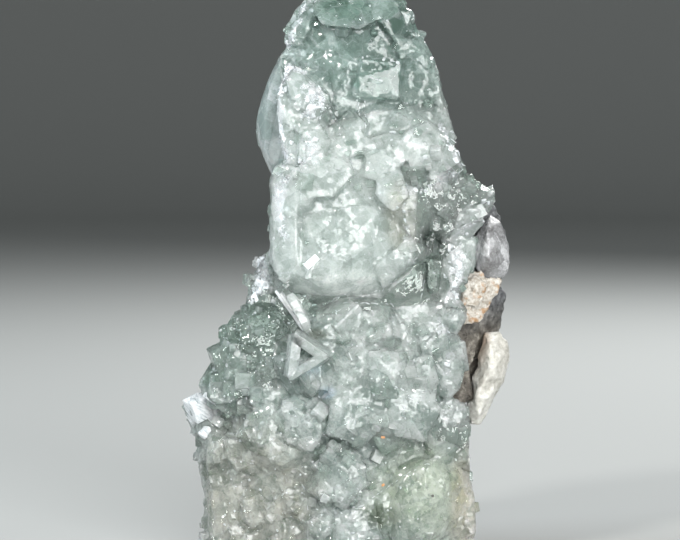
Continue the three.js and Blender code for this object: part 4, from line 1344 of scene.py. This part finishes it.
def smoky_material():
    m = Material("smoky_calcite")
    cloud, fine = m.noise(m.place, 0.28, 5, 0.6, 0.6), m.noise(m.place, 2.4, 5, 0.65)
    facets = m.facets(0.5, 0.8)
    tone = m.sum(fine, 0.3, m.sum(facets["Facet"], 0.25, cloud))
    colour = m.ramp(m.times(tone, 0.65), (0.35, (0.12, 0.12, 0.12)), (0.52, (0.29, 0.295, 0.3)),
                    (0.68, (0.64, 0.65, 0.66)))
    normal = m.bump(m.sum(facets["Height"], 0.4, fine), 0.5, 0.4)
    return m.finish(colour, m.times(fine, 0.5), normal, soft(0.6, 1.2),
                    {"Coat Weight": 0.4, "Coat Roughness": 0.12})


def crust_material():
    m = Material("tan_crust")
    grain, spots = m.noise(m.place, 1.6, 6, 0.72), m.noise(m.place, 0.55, 3, 0.5)
    colour = m.ramp(grain, (0.3, (0.17, 0.14, 0.1)), (0.48, (0.4, 0.37, 0.32)),
                    (0.62, (0.6, 0.58, 0.54)))
    rust = m.ramp(spots, (0.56, BLACK), (0.66, WHITE))
    colour = m.mix(m.times(rust, 0.75), colour, (0.34, 0.17, 0.05))
    return m.finish(colour, 0.85, m.bump(grain, 0.9, 0.4))


def cream_material():
    """Cream-grey, rusty high up along its left edge."""
    m = Material("cream_calcite")
    grain, cloud = m.noise(m.place, 1.2, 6, 0.7), m.noise(m.place, 0.25, 4, 0.6)
    across, _, up = m.node("SeparateXYZ", {"Vector": m.place})
    tone = m.sum(cloud, 0.6, m.times(grain, 0.5))
    colour = m.ramp(tone, (0.38, (0.2, 0.2, 0.17)), (0.52, (0.42, 0.41, 0.37)),
                    (0.68, (0.68, 0.68, 0.64)))
    left = m.sum(across, -0.25, 5.6)  # 1 at the left edge, 0 inside
    rust = m.times(m.math("ADD", left, cloud), m.sum(up, 0.12, -3.2), clamp=True)
    rust = m.ramp(rust, (0.3, BLACK), (0.9, WHITE))
    colour = m.mix(m.times(rust, 0.7), colour, (0.4, 0.2, 0.08))
    return m.finish(colour, m.sum(grain, 0.6, 0.15), m.bump(grain, 0.8, 0.4), soft(0.4, 1.0))


# CAD node, piece, voxel, rounds of smoothing, relief and finish.
STONES = [
    ("sulphide_matrix", "sulphide", 0.4, 1, matrix_swell, sulphide_material),
    ("smoky_calcite", "smoky", 0.35, 3, smoky_swell, smoky_material),
    ("tan_crust", "crust", 0.3, 2, crust_swell, crust_material),
    ("cream_calcite", "cream", 0.33, 2, cream_swell, cream_material),
]
for *shape, finish in STONES:
    stone_copy(*shape).data.materials.append(finish())


# ------------------------------------------------------------------ stage
FLOOR_RADIUS, WALL_CURVE, WALL_HEIGHT = 1.1, 0.5, 1.2
CURVE_STEPS = 10


def stage_material():
    material = bpy.data.materials.new("studio_paper")
    material.use_nodes = True
    shader = material.node_tree.nodes["Principled BSDF"]
    shader.inputs["Base Color"].default_value = (0.27, 0.28, 0.275, 1)
    shader.inputs["Roughness"].default_value = 0.9
    return material


def make_stage():
    """A round pale floor whose rim curves up into a wall."""
    bpy.ops.object.select_all(action="DESELECT")
    bpy.ops.mesh.primitive_circle_add(vertices=96, radius=FLOOR_RADIUS, fill_type="NGON")
    floor = bpy.context.active_object
    floor.name = "studio_floor"
    with editing():
        for step in range(CURVE_STEPS):
            low, high = (math.radians(90 * k / CURVE_STEPS) for k in (step, step + 1))
            out = FLOOR_RADIUS + WALL_CURVE * math.sin(low)
            wider = (FLOOR_RADIUS + WALL_CURVE * math.sin(high)) / out
            bpy.ops.mesh.extrude_region_move(TRANSFORM_OT_translate={
                "value": (0, 0, WALL_CURVE * (math.cos(low) - math.cos(high)))})
            bpy.ops.transform.resize(value=(wider, wider, 1))
        bpy.ops.mesh.extrude_region_move(TRANSFORM_OT_translate={"value": (0, 0, WALL_HEIGHT)})
        bpy.ops.mesh.delete(type="ONLY_FACE")
    with editing():
        bpy.ops.mesh.normals_make_consistent(inside=True)
    bpy.ops.object.shade_smooth()
    floor.data.materials.append(stage_material())


make_stage()

# Lights: place, what they shine at, size, watts and colour.
LIGHTS = {
    "key": ((-0.3, -0.36, 0.46), (0, 0, 0.05), 0.08, 3.4, (1, 0.98, 0.95)),
    "fill": ((0.2, -0.62, 0.22), (0, 0, 0.05), 0.45, 13, WHITE),
    "back": ((0.2, 0.4, 0.4), (0, 0, 0.05), 0.25, 6, WHITE),
    "sky": ((-0.5, -0.05, 0.3), (0, 0, 0.06), 0.3, 4, (0.86, 0.93, 1)),
}
WORLD_COLOUR, WORLD_STRENGTH, EXPOSURE = (0.8, 0.85, 0.84, 1), 0.5, -0.6


def make_lights():
    for name, (place, aim, size, power, colour) in LIGHTS.items():
        data = bpy.data.lights.new(name, "AREA")
        data.shape = "RECTANGLE"
        data.size = data.size_y = size
        data.energy = power
        data.color = colour
        look_from(add_object(name, data), place, aim)


def make_world():
    world = bpy.data.worlds.new("studio")
    bpy.context.scene.world = world
    world.use_nodes = True
    back = world.node_tree.nodes["Background"]
    back.inputs[0].default_value = WORLD_COLOUR
    back.inputs[1].default_value = WORLD_STRENGTH


make_lights()
make_world()
bpy.context.scene.view_settings.view_transform = "Standard"
bpy.context.scene.view_settings.exposure = EXPOSURE
